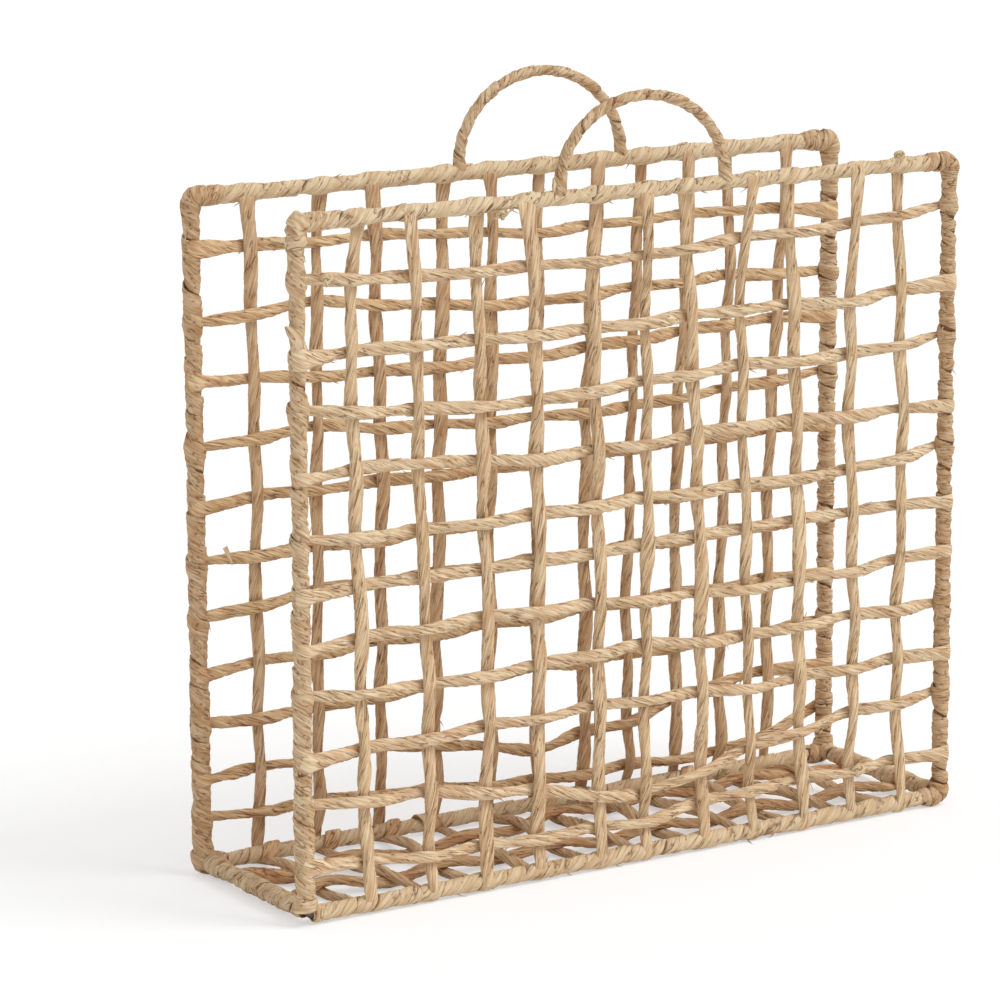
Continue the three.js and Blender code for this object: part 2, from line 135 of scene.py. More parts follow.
# starts: the side of each weft at the first warp, 1 before it and -1 behind it, then by turns;
# 0 runs behind all. fans: how wide each weft spreads at its posts. tuckedFeet: warps whose
# lower laps go under the rail's winding. overLaps: warps whose top laps go over it.
# pinches: width of a warp at a weft where it is drawn in or spread, as a share
panels = {
    "front": {
        "y": basket["frontY"], "out": -1, "warps": frontWarpShares, "wefts": frontWeftShares,
        "starts": [1, -1, 1, -1, 1, 0, -1, 1, -1, 1, -1], "handle": handlePlace("front_handle_wire"),
        "fans": [1.0, 1.1, 1.0, 0.9, 1.0, 1.0, 0.9, 1.0, 1.15, 1.0, 1.0], "tuckedFeet": [0, 3, 6, 9],
        "overLaps": [4, 7, 9], "pinches": {(5, 4): 0.75, (5, 5): 1.3},
    },
    "back": {
        "y": basket["backY"], "out": 1, "warps": backWarpShares, "wefts": backWeftShares,
        "starts": [-1, 1, -1, 1, -1, 1, 1, -1, 1, -1, 1], "handle": handlePlace("back_handle_wire"),
        "fans": [1.15, 1.0, 1.0, 1.0, 0.9, 1.0, 1.0, 0.9, 1.0, 0.8, 1.65], "tuckedFeet": [1, 4, 8],
        "overLaps": [1, 6, 8, 10], "pinches": {},
    },
}
cordCount = len(frontWarpShares)
print("scene: frame read")


# Sets values and links at a node's inputs: by the order of its sockets, or by their names or numbers
def feedNode(node, sources):
    for socket, source in sources.items() if isinstance(sources, dict) else enumerate(sources):
        if isinstance(source, bpy.types.NodeSocket):
            node.id_data.links.new(source, node.inputs[socket])
        else:
            node.inputs[socket].default_value = source


# Adds a node with its settings, values and links, and gives its first output
def addNode(tree, kind, sources=(), **settings):
    node = tree.nodes.new(kind)
    for name, value in settings.items():
        setattr(node, name, value)
    feedNode(node, sources)
    return node.outputs[0] if node.outputs else node


def linearColour(hexCode):
    channels = [int(hexCode[place:place + 2], 16) / 255 for place in (1, 3, 5)]
    return [c / 12.92 if c <= 0.04045 else ((c + 0.055) / 1.055) ** 2.4 for c in channels] + [1]


def newMaterial(name):
    material = bpy.data.materials.new(name)
    material.use_nodes = True
    return material, material.node_tree.nodes["Principled BSDF"], partial(addNode, material.node_tree)


# Raffia is split palm leaf: dull, fibrous along its length, straw-coloured; the darker brown in its
# folds is painted shade.
# The eye sees pale fibres side by side, short dark creases and now and then a browner streak.
def makeRaffia(name, look):
    material, shader, add = newMaterial(name)
    # lay is in millimetres: across the strand in X and Y, along its fibres in Z
    lay = add("ShaderNodeAttribute", attribute_name="lay").node.outputs["Vector"]
    tone = add("ShaderNodeAttribute", attribute_name="tone").node.outputs["Fac"]
    # The crease value kept by the geometry marks fold valleys and strip edges under the turn before:
    # shade is painted there
    patterns = {"fold": add("ShaderNodeAttribute", attribute_name="crease").node.outputs["Fac"]}
    for pattern, (width, length, detail) in look["patterns"].items():
        scale = [1 / width, 1 / width, 1 / length]
        place = add("ShaderNodeMapping", {"Vector": lay, "Scale": scale})
        patterns[pattern] = add("ShaderNodeTexNoise", {
            "Vector": place, "Scale": 1, "Detail": detail, "Roughness": look["noiseRoughness"]})
    # A thin dark line runs where the crease noise passes its middle, broken up by another noise
    aside = add("ShaderNodeMath", [patterns["crease"], 0.5], operation="SUBTRACT")
    patterns["line"] = add("ShaderNodeMath", [aside], operation="ABSOLUTE")
    shares = {}
    for pattern, (low, high) in look["levels"].items():
        shares[pattern] = add("ShaderNodeMapRange", {
            "Value": patterns[pattern], "From Min": low, "From Max": high,
            "To Max": look["shares"].get(pattern, 1.0)})
    browned = add("ShaderNodeMath", [shares["streak"], tone], operation="ADD", use_clamp=True)
    fineCrease = add("ShaderNodeMath", [shares["line"], shares["break"]], operation="MULTIPLY")
    fineShare = add("ShaderNodeMath", [fineCrease, look["shares"]["fineCrease"]],
                    operation="MULTIPLY")
    colour = linearColour(look["mid"])
    # The last layer, foldShade, is painted shade in the fold valleys and under a winding's turns
    for share, layer in ((shares["fibre"], "light"), (browned, "brown"), (fineShare, "line"),
                         (shares["fold"], "foldShade")):
        colour = add("ShaderNodeMix", {0: share, 6: colour, 7: linearColour(look[layer])},
                     data_type="RGBA").node.outputs[2]
    height = add("ShaderNodeMath", [patterns["fibre"], fineCrease], operation="SUBTRACT")
    bump = add("ShaderNodeBump", {
        "Height": height, "Strength": look["bumpStrength"], "Distance": look["bumpDepth"]})
    feedNode(shader, {"Base Color": colour, "Normal": bump, "Roughness": look["roughness"],
                      "Specular IOR Level": look["specular"]})
    return material


# Patterns: width across the fibres and length along them in millimetres, and noise detail.
# Single raffia fibres are 0.2 mm wide and would not show, so they are drawn at 0.7 mm.
# levels: the values at which a pattern starts to show and is full. shares: how far it then covers.
# This is the tight cord of the front wefts: the palest, with fine creases that wind round it.
cordLook = {
    "patterns": {"fibre": (0.7, 11, 3), "streak": (2.2, 26, 2), "crease": (1.7, 16, 1),
                 "break": (3.2, 11, 1)},
    "levels": {"fibre": (0.36, 0.62), "streak": (0.46, 0.72), "line": (0.034, 0.0),
               "break": (0.42, 0.56), "fold": (0.5, 0.95)},
    "shares": {"streak": 0.6, "fineCrease": 0.95, "fold": 0.9},
    # foldShade: the colour of the painted shade in the folds
    "light": "#f3dfbd", "mid": "#cdab80", "brown": "#b87c4e", "line": "#835029", "foldShade": "#69401f",
    "noiseRoughness": 0.6, "bumpStrength": 1.0, "bumpDepth": 0.3 * mm, "roughness": 0.75,
    "specular": 0.3,
}
twistedRaffia = makeRaffia("twistedRaffiaCord", cordLook)
# The warps' looser cord: straighter, with longer fibres and creases, a little darker
warpRaffia = makeRaffia("looselyTwistedRaffiaCord", {
    **cordLook, "light": "#ebd5b0", "mid": "#c8a176", "brown": "#a8724a",
    "shares": {**cordLook["shares"], "streak": 0.5},
    "patterns": {**cordLook["patterns"], "fibre": (0.7, 20, 3), "crease": (1.8, 24, 1)}})
# Cord of the back panel and the base: a shaded copy of the cord, darker and browner, partly its own
# colour and partly painted shade, with red-brown painted shade in its creases
shadedRaffia = makeRaffia("shadedBrownRaffiaCord", {
    **cordLook, "light": "#eed4aa", "mid": "#c2976a", "brown": "#a9693b", "line": "#77431f",
    "foldShade": "#5f3820"})
# Flat strip round the rails: greyer straw, smoother, with few and thin lines
stripRaffia = makeRaffia("woundRaffiaStrip", {
    **cordLook, "light": "#e7d3b2", "mid": "#cdb088", "brown": "#b58a5e",
    "levels": {**cordLook["levels"], "line": (0.028, 0.0)},
    "shares": {"streak": 0.45, "fineCrease": 0.85, "fold": 0.85},
    "patterns": {"fibre": (0.7, 14, 3), "streak": (3.0, 20, 2), "crease": (2.4, 18, 1),
                 "break": (3.0, 9, 1)}})
# Strip gathered round posts, handles and base bars: darker, full of short creases
gatheredRaffia = makeRaffia("gatheredRaffiaStrip", {
    **cordLook, "light": "#e6d0ae", "mid": "#bf9c72", "brown": "#ad7c4f",
    "levels": {**cordLook["levels"], "line": (0.036, 0.0)},
    "shares": {"streak": 0.55, "fineCrease": 0.9, "fold": 0.9},
    "patterns": {"fibre": (0.7, 9, 3), "streak": (2.6, 14, 2), "crease": (1.9, 9, 1),
                 "break": (2.4, 5, 1)}})

# Mild steel wire, drawn and left bare: dark brown-grey and dull, with stains from handling
steelLook = {"dark": "#4a423e", "light": "#7b6f68", "stainSize": 2.5 * mm, "stainDetail": 3,
             "bumpStrength": 0.3, "bumpDepth": 0.1 * mm, "roughness": 0.5}


def makeSteel():
    material, shader, add = newMaterial("drawnMildSteel")
    place = add("ShaderNodeTexCoord").node.outputs["Object"]
    stain = add("ShaderNodeTexNoise", {
        "Vector": place, "Scale": 1 / steelLook["stainSize"], "Detail": steelLook["stainDetail"]})
    colours = {6: linearColour(steelLook["dark"]), 7: linearColour(steelLook["light"])}
    colour = add("ShaderNodeMix", {0: stain, **colours}, data_type="RGBA").node.outputs[2]
    bump = add("ShaderNodeBump", {
        "Height": stain, "Strength": steelLook["bumpStrength"], "Distance": steelLook["bumpDepth"]})
    feedNode(shader, {"Base Color": colour, "Normal": bump, "Metallic": 1,
                      "Roughness": steelLook["roughness"]})
    return material


mildSteel = makeSteel()
print("scene: materials made")


def newTree(name, inputs, outputs):
    tree = bpy.data.node_groups.new(name, "GeometryNodeTree")
    for way, sockets in (("INPUT", inputs), ("OUTPUT", outputs)):
        for kind, names in sockets.items():
            for socketName in names:
                tree.interface.new_socket(
                    name=socketName, in_out=way, socket_type="NodeSocket" + kind)
    add = partial(addNode, tree)
    return tree, add, add("NodeGroupInput").node.outputs


# Wide folds and finer ones in them: noise scale, sharpness and share of each. top: the depth that
# lies at the strand's own size. Folds fade as a strand's half thickness falls from twice pressedHalf
# to it, and there the painted shade in their creases keeps flatCreaseShare.
foldLook = {"folds": [(1.0, 8.5, 0.6), (2.6, 7.0, 0.4)], "roundness": 0.7, "top": 0.8,
            "pressedHalf": 1.0 * mm, "flatCreaseShare": 0.4}
floorGap = 0.05 * mm


# Depth of the folds at a place on the lay, from 0 in a crease to 1 on a ridge
def makeFoldTree():
    tree, add, given = newTree("raffiaFolds", {"Vector": ["Lay"], "Float": ["Spacing", "Length"]},
                               {"Float": ["Fold"]})
    sizes = add("ShaderNodeCombineXYZ", [given["Spacing"], given["Spacing"], given["Length"]])
    place = add("ShaderNodeVectorMath", [given["Lay"], sizes], operation="DIVIDE")
    fold = 0.0
    for scale, sharpness, share in foldLook["folds"]:
        noise = add("ShaderNodeTexNoise", {"Vector": place, "Scale": scale, "Detail": 0.0})
        signed = add("ShaderNodeMath", [noise, sharpness, -sharpness / 2], operation="MULTIPLY_ADD")
        rise = add("ShaderNodeMath", [signed], operation="ABSOLUTE")
        capped = add("ShaderNodeMath", [rise, 1.0], operation="MINIMUM")
        ridge = add("ShaderNodeMath", [capped, foldLook["roundness"]], operation="POWER")
        fold = add("ShaderNodeMath", [ridge, share, fold], operation="MULTIPLY_ADD")
    add("NodeGroupOutput", {"Fold": fold})
    return tree


# A round profile whose points carry their angle, counted the given way round
def addRing(add, sides, roundWay):
    ring = add("GeometryNodeCurvePrimitiveCircle", {"Resolution": sides, "Radius": 1.0},
               mode="RADIUS")
    index = add("GeometryNodeInputIndex")
    part = add("ShaderNodeMath", [index, sides], operation="DIVIDE")
    angle = add("ShaderNodeMath", [part, roundWay * fullTurn], operation="MULTIPLY")
    return add("GeometryNodeStoreNamedAttribute", {
        "Geometry": ring, "Name": "ringAngle", "Value": angle}, data_type="FLOAT", domain="POINT")


# How deep the folds are at a lay, from 0 on a ridge to 1 in a crease, and how far they raise or
# lower the skin as a share of their depth
def addFolds(add, given, lay, foldTree):
    fold = add("GeometryNodeGroup", {
        "Lay": lay, "Spacing": given["Fold Spacing"], "Length": given["Fold Length"]},
        node_tree=foldTree)
    creased = add("ShaderNodeMath", [1.0, fold], operation="SUBTRACT")
    return creased, add("ShaderNodeMath", [fold, foldLook["top"]], operation="SUBTRACT")


# Moves a skin's points out from the middle: at the given angle, between two ways with their sizes.
# Where raffia rests on the floor it is pressed flat.
def placeRound(add, skin, middle, angle, ways):
    place = middle
    for (way, size), turning in zip(ways, ("COSINE", "SINE")):
        share = add("ShaderNodeMath", [angle], operation=turning)
        reach = add("ShaderNodeMath", [size, share], operation="MULTIPLY")
        step = add("ShaderNodeVectorMath", {0: way, "Scale": reach}, operation="SCALE")
        place = add("ShaderNodeVectorMath", [place, step], operation="ADD")
    along = add("ShaderNodeSeparateXYZ", [place]).node.outputs
    raised = add("ShaderNodeMath", [along[2], floorGap], operation="MAXIMUM")
    place = add("ShaderNodeCombineXYZ", [along[0], along[1], raised])
    return add("GeometryNodeSetPosition", {"Geometry": skin, "Position": place})


# Keeps on a skin what its material reads: creases, which it darkens as painted shade, lay in
# millimetres and tone
def keepLook(add, skin, crease, lay, tone):
    layMillimetres = add("ShaderNodeVectorMath", {0: lay, "Scale": 1 / mm}, operation="SCALE")
    shown = {"crease": ("FLOAT", crease), "lay": ("FLOAT_VECTOR", layMillimetres),
             "tone": ("FLOAT", tone)}
    for name, (kind, value) in shown.items():
        skin = add("GeometryNodeStoreNamedAttribute", {
            "Geometry": skin, "Name": name, "Value": value}, data_type=kind, domain="POINT")
    return skin


def finishTree(add, skin, material):
    skin = add("GeometryNodeSetShadeSmooth", {"Geometry": skin})
    skin = add("GeometryNodeRealizeInstances", {"Geometry": skin})
    skin = add("GeometryNodeSetMaterial", {"Geometry": skin, "Material": material})
    add("NodeGroupOutput", {"Geometry": skin})


strandInputs = {
    "Geometry": ["Path"], "Int": ["Sides"], "Material": ["Material"],
    "Float": ["Step", "Twist", "Lay Radius", "Fold Spacing", "Fold Length", "Fold Depth", "Seed",
              "Tone"],
}


# Sweeps a folded strand of raffia along a path that carries flatWay, halfWidth and halfThickness
def makeStrandTree(foldTree):
    tree, add, given = newTree("raffiaStrand", strandInputs, {"Geometry": ["Geometry"]})
    curve = add("GeometryNodeMeshToCurve", {"Mesh": given["Path"]})
    even = add("GeometryNodeResampleCurve", {"Curve": curve, "Length": given["Step"]}, mode="LENGTH")
    # Directions across the strand's width and through its thickness
    tangent = add("GeometryNodeInputTangent")
    flatWay = add("GeometryNodeInputNamedAttribute", {"Name": "flatWay"}, data_type="FLOAT_VECTOR")
    lean = add("ShaderNodeVectorMath", [tangent, flatWay],
               operation="DOT_PRODUCT").node.outputs["Value"]
    leant = add("ShaderNodeVectorMath", {0: tangent, "Scale": lean}, operation="SCALE")
    square = add("ShaderNodeVectorMath", [flatWay, leant], operation="SUBTRACT")
    across = add("ShaderNodeVectorMath", [square], operation="NORMALIZE")
    through = add("ShaderNodeVectorMath", [tangent, across], operation="CROSS_PRODUCT")
    carried = {
        "acrossWay": ("FLOAT_VECTOR", across), "throughWay": ("FLOAT_VECTOR", through),
        "middle": ("FLOAT_VECTOR", add("GeometryNodeInputPosition")),
        "along": ("FLOAT", add("GeometryNodeSplineParameter").node.outputs["Length"]),
    }
    for name, (kind, value) in carried.items():
        even = add("GeometryNodeStoreNamedAttribute", {
            "Geometry": even, "Name": name, "Value": value}, data_type=kind, domain="POINT")
    ring = addRing(add, given["Sides"], 1)
    skin = add("GeometryNodeCurveToMesh", {"Curve": even, "Profile Curve": ring, "Fill Caps": True})
    held = {}
    for kind, names in (("FLOAT_VECTOR", ["acrossWay", "throughWay", "middle"]),
                        ("FLOAT", ["ringAngle", "along", "halfWidth", "halfThickness", "browning"])):
        for name in names:
            held[name] = add("GeometryNodeInputNamedAttribute", {"Name": name}, data_type=kind)
    # The lay turns with the twist, and the folds follow it
    turned = add("ShaderNodeMath", [held["along"], given["Twist"]], operation="MULTIPLY")
    layAngle = add("ShaderNodeMath", [held["ringAngle"], turned], operation="SUBTRACT")
    layCos = add("ShaderNodeMath", [layAngle], operation="COSINE")
    laySin = add("ShaderNodeMath", [layAngle], operation="SINE")
    layX = add("ShaderNodeMath", [layCos, given["Lay Radius"]], operation="MULTIPLY")
    layY = add("ShaderNodeMath", [laySin, given["Lay Radius"], given["Seed"]],
               operation="MULTIPLY_ADD")
    lay = add("ShaderNodeCombineXYZ", [layX, layY, held["along"]])
    creased, cut = addFolds(add, given, lay, foldTree)
    flatness = add("ShaderNodeMath", [held["halfThickness"], 1 / foldLook["pressedHalf"], -1.0],
                   operation="MULTIPLY_ADD", use_clamp=True)
    depth = add("ShaderNodeMath", [flatness, given["Fold Depth"]], operation="MULTIPLY")
    height = add("ShaderNodeMath", [cut, depth], operation="MULTIPLY")
    wide, thick = (add("ShaderNodeMath", [held[half], height], operation="ADD")
                   for half in ("halfWidth", "halfThickness"))
    skin = placeRound(add, skin, held["middle"], held["ringAngle"],
                      [(held["acrossWay"], wide), (held["throughWay"], thick)])
    # The crease value darkens the folds' valleys in the material: painted shade, weaker where a lap
    # is pressed flat
    creaseShare = add("ShaderNodeMath", [
        flatness, 1 - foldLook["flatCreaseShare"], foldLook["flatCreaseShare"]],
        operation="MULTIPLY_ADD", use_clamp=True)
    crease = add("ShaderNodeMath", [creased, creaseShare], operation="MULTIPLY")
    # The tone carries browning, the painted shade towards the back panel
    tone = add("ShaderNodeMath", [given["Tone"], held["browning"]], operation="ADD")
    finishTree(add, keepLook(add, skin, crease, lay, tone), given["Material"])
    return tree


windingInputs = {
    "Geometry": ["Path"], "Vector": ["Side Axis"], "Int": ["Turn Steps", "Sides"],
    "Material": ["Material"],
    "Float": ["Liner Radius", "Liner Share", "Pitch", "Mean Radius", "Strip Width", "Strip Thickness",
              "Fullness", "Lift", "Unevenness", "Swell", "Shear", "Start Turn", "Fold Spacing",
              "Fold Length", "Fold Depth", "Seed", "Tone"],
}
# noise: how often it changes in a turn, and how much across the strip. waveShare: how far a wave
# changes the width or the pitch. underEdge: the cosines across the strip at which the shade under
# the turn before it begins and is full.
stripLook = {
    "noise": {"slip": (0.9, 0.0), "swell": (0.7, 0.0), "width": (1.4, 0.0), "edge": (3.1, 0.6)},
    "noiseApart": 31.7, "waveShare": 0.5, "underEdge": (-0.4, -0.72),
    # linerShade and linerShadeTone: the painted shade on the liner
    "linerSides": 12, "linerShade": 0.62, "linerShadeTone": 0.3,
}


# Winds a strip round a path that carries coreRadius, left-handed as on the basket: every
# point of the strip is laid on the round of the core by its turn, its place across and its height
def makeWindingTree(foldTree):
    tree, add, given = newTree("raffiaWinding", windingInputs, {"Geometry": ["Geometry"]})
    core = add("GeometryNodeMeshToCurve", {"Mesh": given["Path"]})
    coreLength = add("GeometryNodeCurveLength", {"Curve": core})
    turns = add("ShaderNodeMath", [coreLength, given["Pitch"]], operation="DIVIDE")
    count = add("ShaderNodeMath", [turns, given["Turn Steps"]], operation="MULTIPLY")
    line = add("GeometryNodeMeshLine", {"Count": count, "Offset": (0.0, 0.0, mm)}, mode="OFFSET")
    index = add("GeometryNodeInputIndex")
    turnPlace = add("ShaderNodeMath", [index, given["Turn Steps"]], operation="DIVIDE")
    line = add("GeometryNodeStoreNamedAttribute", {
        "Geometry": line, "Name": "turn", "Value": turnPlace}, data_type="FLOAT", domain="POINT")
    strip = add("GeometryNodeMeshToCurve", {"Mesh": line})
    ring = addRing(add, given["Sides"], -1)
    skin = add("GeometryNodeCurveToMesh", {"Curve": strip, "Profile Curve": ring, "Fill Caps": True})
    turn, angle, coreRadius = (
        add("GeometryNodeInputNamedAttribute", {"Name": name}, data_type="FLOAT")
        for name in ("turn", "ringAngle", "coreRadius"))
    ringCos = add("ShaderNodeMath", [angle], operation="COSINE")
    ringSin = add("ShaderNodeMath", [angle], operation="SINE")
    # Slow random values along the strip, the same each time for one seed, from about -1 to 1
    waves = {}
    for order, (wave, (scale, acrossShare)) in enumerate(stripLook["noise"].items()):
        shift = add("ShaderNodeMath", [given["Seed"], 1 / mm, order * stripLook["noiseApart"]],
                    operation="MULTIPLY_ADD")
        edge = add("ShaderNodeMath", [ringCos, acrossShare], operation="MULTIPLY")
        where = add("ShaderNodeCombineXYZ", [turn, shift, edge])
        noise = add("ShaderNodeTexNoise", {"Vector": where, "Scale": scale, "Detail": 1.0})
        centred = add("ShaderNodeMath", [noise, 4.0, -2.0], operation="MULTIPLY_ADD")
        waves[wave] = add("ShaderNodeMath", [centred, given["Unevenness"]], operation="MULTIPLY")
    # Width: slow change, and a ragged edge
    ragged = 1.0
    for wave in ("width", "edge"):
        ragged = add("ShaderNodeMath", [waves[wave], stripLook["waveShare"], ragged],
                     operation="MULTIPLY_ADD")
    halfWidth = add("ShaderNodeMath", [given["Strip Width"], 0.5], operation="MULTIPLY")
    edgeReach = add("ShaderNodeMath", [halfWidth, ragged], operation="MULTIPLY")
    across = add("ShaderNodeMath", [edgeReach, ringCos], operation="MULTIPLY")
    # Slope of the helix
    girth = add("ShaderNodeMath", [given["Mean Radius"], fullTurn], operation="MULTIPLY")
    helix = add("ShaderNodeCombineXYZ", [given["Pitch"], girth])
    turnLength = add("ShaderNodeVectorMath", [helix], operation="LENGTH").node.outputs["Value"]
    slope = add("ShaderNodeVectorMath", [helix], operation="NORMALIZE")
    slopes = add("ShaderNodeSeparateXYZ", [slope]).node.outputs
    stripPlace = add("ShaderNodeMath", [turn, turnLength], operation="MULTIPLY")
    # Station along the core and angle round it
    slipped = add("ShaderNodeMath", [waves["slip"], stripLook["waveShare"], turn],
                  operation="MULTIPLY_ADD")
    turnStation = add("ShaderNodeMath", [slipped, given["Pitch"]], operation="MULTIPLY")
    station = add("ShaderNodeMath", [across, slopes[1], turnStation], operation="MULTIPLY_ADD")
    backTurn = add("ShaderNodeMath", [across, slopes[0]], operation="MULTIPLY")
    backAngle = add("ShaderNodeMath", [backTurn, given["Mean Radius"]], operation="DIVIDE")
    started = add("ShaderNodeMath", [turn, given["Start Turn"]], operation="ADD")
    roundAngle = add("ShaderNodeMath", [started, -fullTurn, backAngle], operation="MULTIPLY_ADD")
    sample = add("GeometryNodeSampleCurve", {"Curves": core, "Value": coreRadius, "Length": station},
                 mode="LENGTH", data_type="FLOAT").node.outputs
    # The folds, and the fibres' slant on the strip
    sheared = add("ShaderNodeMath", [stripPlace, given["Shear"], across], operation="MULTIPLY_ADD")
    lay = add("ShaderNodeCombineXYZ", [sheared, given["Seed"], stripPlace])
    creased, cut = addFolds(add, given, lay, foldTree)
    # Height of the point over the axis of the core
    radius = add("ShaderNodeMath", [waves["swell"], given["Swell"], sample["Value"]],
                 operation="MULTIPLY_ADD")
    folded = add("ShaderNodeMath", [cut, given["Fold Depth"], radius], operation="MULTIPLY_ADD")
    lifted = add("ShaderNodeMath", [ringCos, given["Lift"], folded], operation="MULTIPLY_ADD")
    steep = add("ShaderNodeMath", [ringSin], operation="ABSOLUTE")
    bulge = add("ShaderNodeMath", [steep, given["Fullness"]], operation="POWER")
    faceSign = add("ShaderNodeMath", [ringSin], operation="SIGN")
    face = add("ShaderNodeMath", [bulge, faceSign], operation="MULTIPLY")
    halfThickness = add("ShaderNodeMath", [given["Strip Thickness"], 0.5], operation="MULTIPLY")
    height = add("ShaderNodeMath", [face, halfThickness, lifted], operation="MULTIPLY_ADD")
    crossWay = add("ShaderNodeVectorMath", [sample["Tangent"], given["Side Axis"]],
                   operation="CROSS_PRODUCT")
    skin = placeRound(add, skin, sample["Position"], roundAngle,
                      [(given["Side Axis"], height), (crossWay, height)])
    # A strip is in shade where the turn before it lies on its edge; this shade and the folds' is
    # painted through the crease value
    lit, dark = stripLook["underEdge"]
    underEdge = add("ShaderNodeMapRange", {"Value": ringCos, "From Min": lit, "From Max": dark})
    crease = add("ShaderNodeMath", [creased, underEdge], operation="MAXIMUM")
    skin = keepLook(add, skin, crease, lay, given["Tone"])
    # A first layer lies under the strip and is seen, dark, where two turns leave a gap: its darkness
    # is painted shade
    linerShare = add("ShaderNodeMath", [coreRadius, given["Liner Share"]], operation="MULTIPLY")
    linerSize = add("ShaderNodeMath", [linerShare, given["Liner Radius"]], operation="MAXIMUM")
    linerRing = add("GeometryNodeCurvePrimitiveCircle", {
        "Resolution": stripLook["linerSides"], "Radius": 1.0}, mode="RADIUS")
    liner = add("GeometryNodeCurveToMesh", {
        "Curve": core, "Profile Curve": linerRing, "Scale": linerSize, "Fill Caps": True})
    liner = keepLook(add, liner, stripLook["linerShade"], add("GeometryNodeInputPosition"),
                     stripLook["linerShadeTone"])
    joined = add("GeometryNodeJoinGeometry", {"Geometry": skin})
    feedNode(joined.node, {"Geometry": liner})
    finishTree(add, joined, given["Material"])
    return tree


foldTree = makeFoldTree()
strandTree = makeStrandTree(foldTree)
windingTree = makeWindingTree(foldTree)
passingAttributes = ["acrossWay", "throughWay", "middle", "along", "ringAngle", "flatWay",
                     "halfWidth", "halfThickness", "browning", "turn", "coreRadius"]


# Makes a plain mesh of a node tree run on a path, and gives it the place of its CAD nodes
def makePiece(name, path, tree, values, nodes):
    source = bpy.data.objects.new(name + "_path", path)
    bpy.context.scene.collection.objects.link(source)
    modifier = source.modifiers.new("raffia", "NODES")
    modifier.node_group = tree
    for item in tree.interface.items_tree:
        if item.in_out == "INPUT" and item.name in values:
            modifier[item.identifier] = values[item.name]
    bpy.context.view_layer.update()
    evaluated = source.evaluated_get(bpy.context.evaluated_depsgraph_get())
    mesh = bpy.data.meshes.new_from_object(evaluated)
    bpy.data.objects.remove(source)
    for attribute in passingAttributes:
        if attribute in mesh.attributes:
            mesh.attributes.remove(mesh.attributes[attribute])
    mesh.name = name
    piece = bpy.data.objects.new(name, mesh)
    bpy.context.scene.collection.objects.link(piece)
    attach(piece, "root")
    if nodes:
        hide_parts(*nodes)
    return piece


# A path's points in one line, or in several lines that start at the given points
def pathMesh(name, points, attributes, starts=()):
    mesh = bpy.data.meshes.new(name + "_path")
    edges = [(index, index + 1) for index in range(len(points) - 1) if index + 1 not in starts]
    mesh.from_pydata([tuple(point) for point in points], edges, [])
    for attribute, values in attributes.items():
        values = np.asarray(values, float)
        kind, field = ("FLOAT_VECTOR", "vector") if values.ndim == 2 else ("FLOAT", "value")
        mesh.attributes.new(attribute, kind, "POINT").data.foreach_set(field, values.ravel())
    return mesh


# Smooth values between knots, for one value or for several together
def easedBetween(knots, values, places):
    values = np.asarray(values, float)
    if values.ndim == 1:
        return easedBetween(knots, values[:, None], places)[:, 0]
    slopes = np.gradient(values, knots, axis=0)
    index = np.clip(np.searchsorted(knots, places, side="right") - 1, 0, len(knots) - 2)
    span = (knots[index + 1] - knots[index])[:, None]
    share = (places - knots[index])[:, None] / span
    first = (1 + 2 * share) * (1 - share) ** 2 * values[index]
    second = share ** 2 * (3 - 2 * share) * values[index + 1]
    leave = share * (1 - share) ** 2 * span * slopes[index]
    arrive = share ** 2 * (share - 1) * span * slopes[index + 1]
    return first + second + leave + arrive


# Distances of a line's points along it, and evenly spaced distances from its start to its end
def stationsAlong(points, spacing):
    chords = np.linalg.norm(np.diff(points[:, :3], axis=0), axis=1)
    stations = np.concatenate([[0], np.cumsum(chords)])
    return stations, np.linspace(0, stations[-1], int(stations[-1] / spacing) + 1)


# One smooth route through points of x, y, z, half width and half thickness
def smoothRoute(points, spacing):
    points = np.array(points, float)
    stations, fine = stationsAlong(points, spacing)
    return fine, easedBetween(stations, points, fine)


# Slow random wander along a strand, between -1 and 1
def wander(random, stations, spacing):
    knots = np.arange(0, stations[-1] + 3 * spacing, spacing)
    return easedBetween(knots, random.uniform(-1, 1, len(knots)), stations)


# Offsets: how far a cord's middle steps out of the panel or the base where it crosses another.
# Waves: the length over which a strand's width, thickness and sidestep change at random.
# pressed: half thickness of a lap that has no sidestep, and how much more gives a full one.
cordSizes = {
    "warpWidth": 6.6 * mm, "warpThickness": 4.3 * mm,
    "weftWidth": 6.1 * mm, "weftThickness": 4.1 * mm,
    "baseWidth": 8.6 * mm, "baseThickness": 5.4 * mm,
    "warpOffset": 1.3 * mm, "weftOffset": 3.1 * mm, "baseOffset": 2.3 * mm,
    "widthUnevenness": 0.2, "thicknessUnevenness": 0.1, "sidestep": 0.4 * mm,
    "widthWave": 15 * mm, "thicknessWave": 19 * mm, "sidestepWave": 30 * mm,
    "pressed": (0.8 * mm, 1 * mm), "spacing": 1.5 * mm,
    "weftTwist": 135.0, "warpTwist": 90.0, "baseTwist": 80.0, "twistRange": (0.75, 1.25),
    # backShadeTone: painted shade on the cords towards the back panel
    "toneRange": (-0.06, 0.08), "backShadeTone": 0.24, "baseTone": 0.2,
}
foldSizes = {"Step": 1.2 * mm, "Sides": 34, "Lay Radius": 3 * mm, "Fold Spacing": 3.0 * mm,
             "Fold Length": 22 * mm, "Fold Depth": 1.1 * mm}
warpFolds = {"Fold Spacing": 2.5 * mm, "Fold Length": 26 * mm, "Fold Depth": 0.85 * mm}
seedStep = 0.05  # metres on the lay from one seed to the next, so that no two strands are alike
cordSeeds = {"warp": 10, "front": 40, "back": 70, "base": 100, "turn": 180}  # of the first of each
routes = {}  # middle, sideways direction and half width along each cord and winding


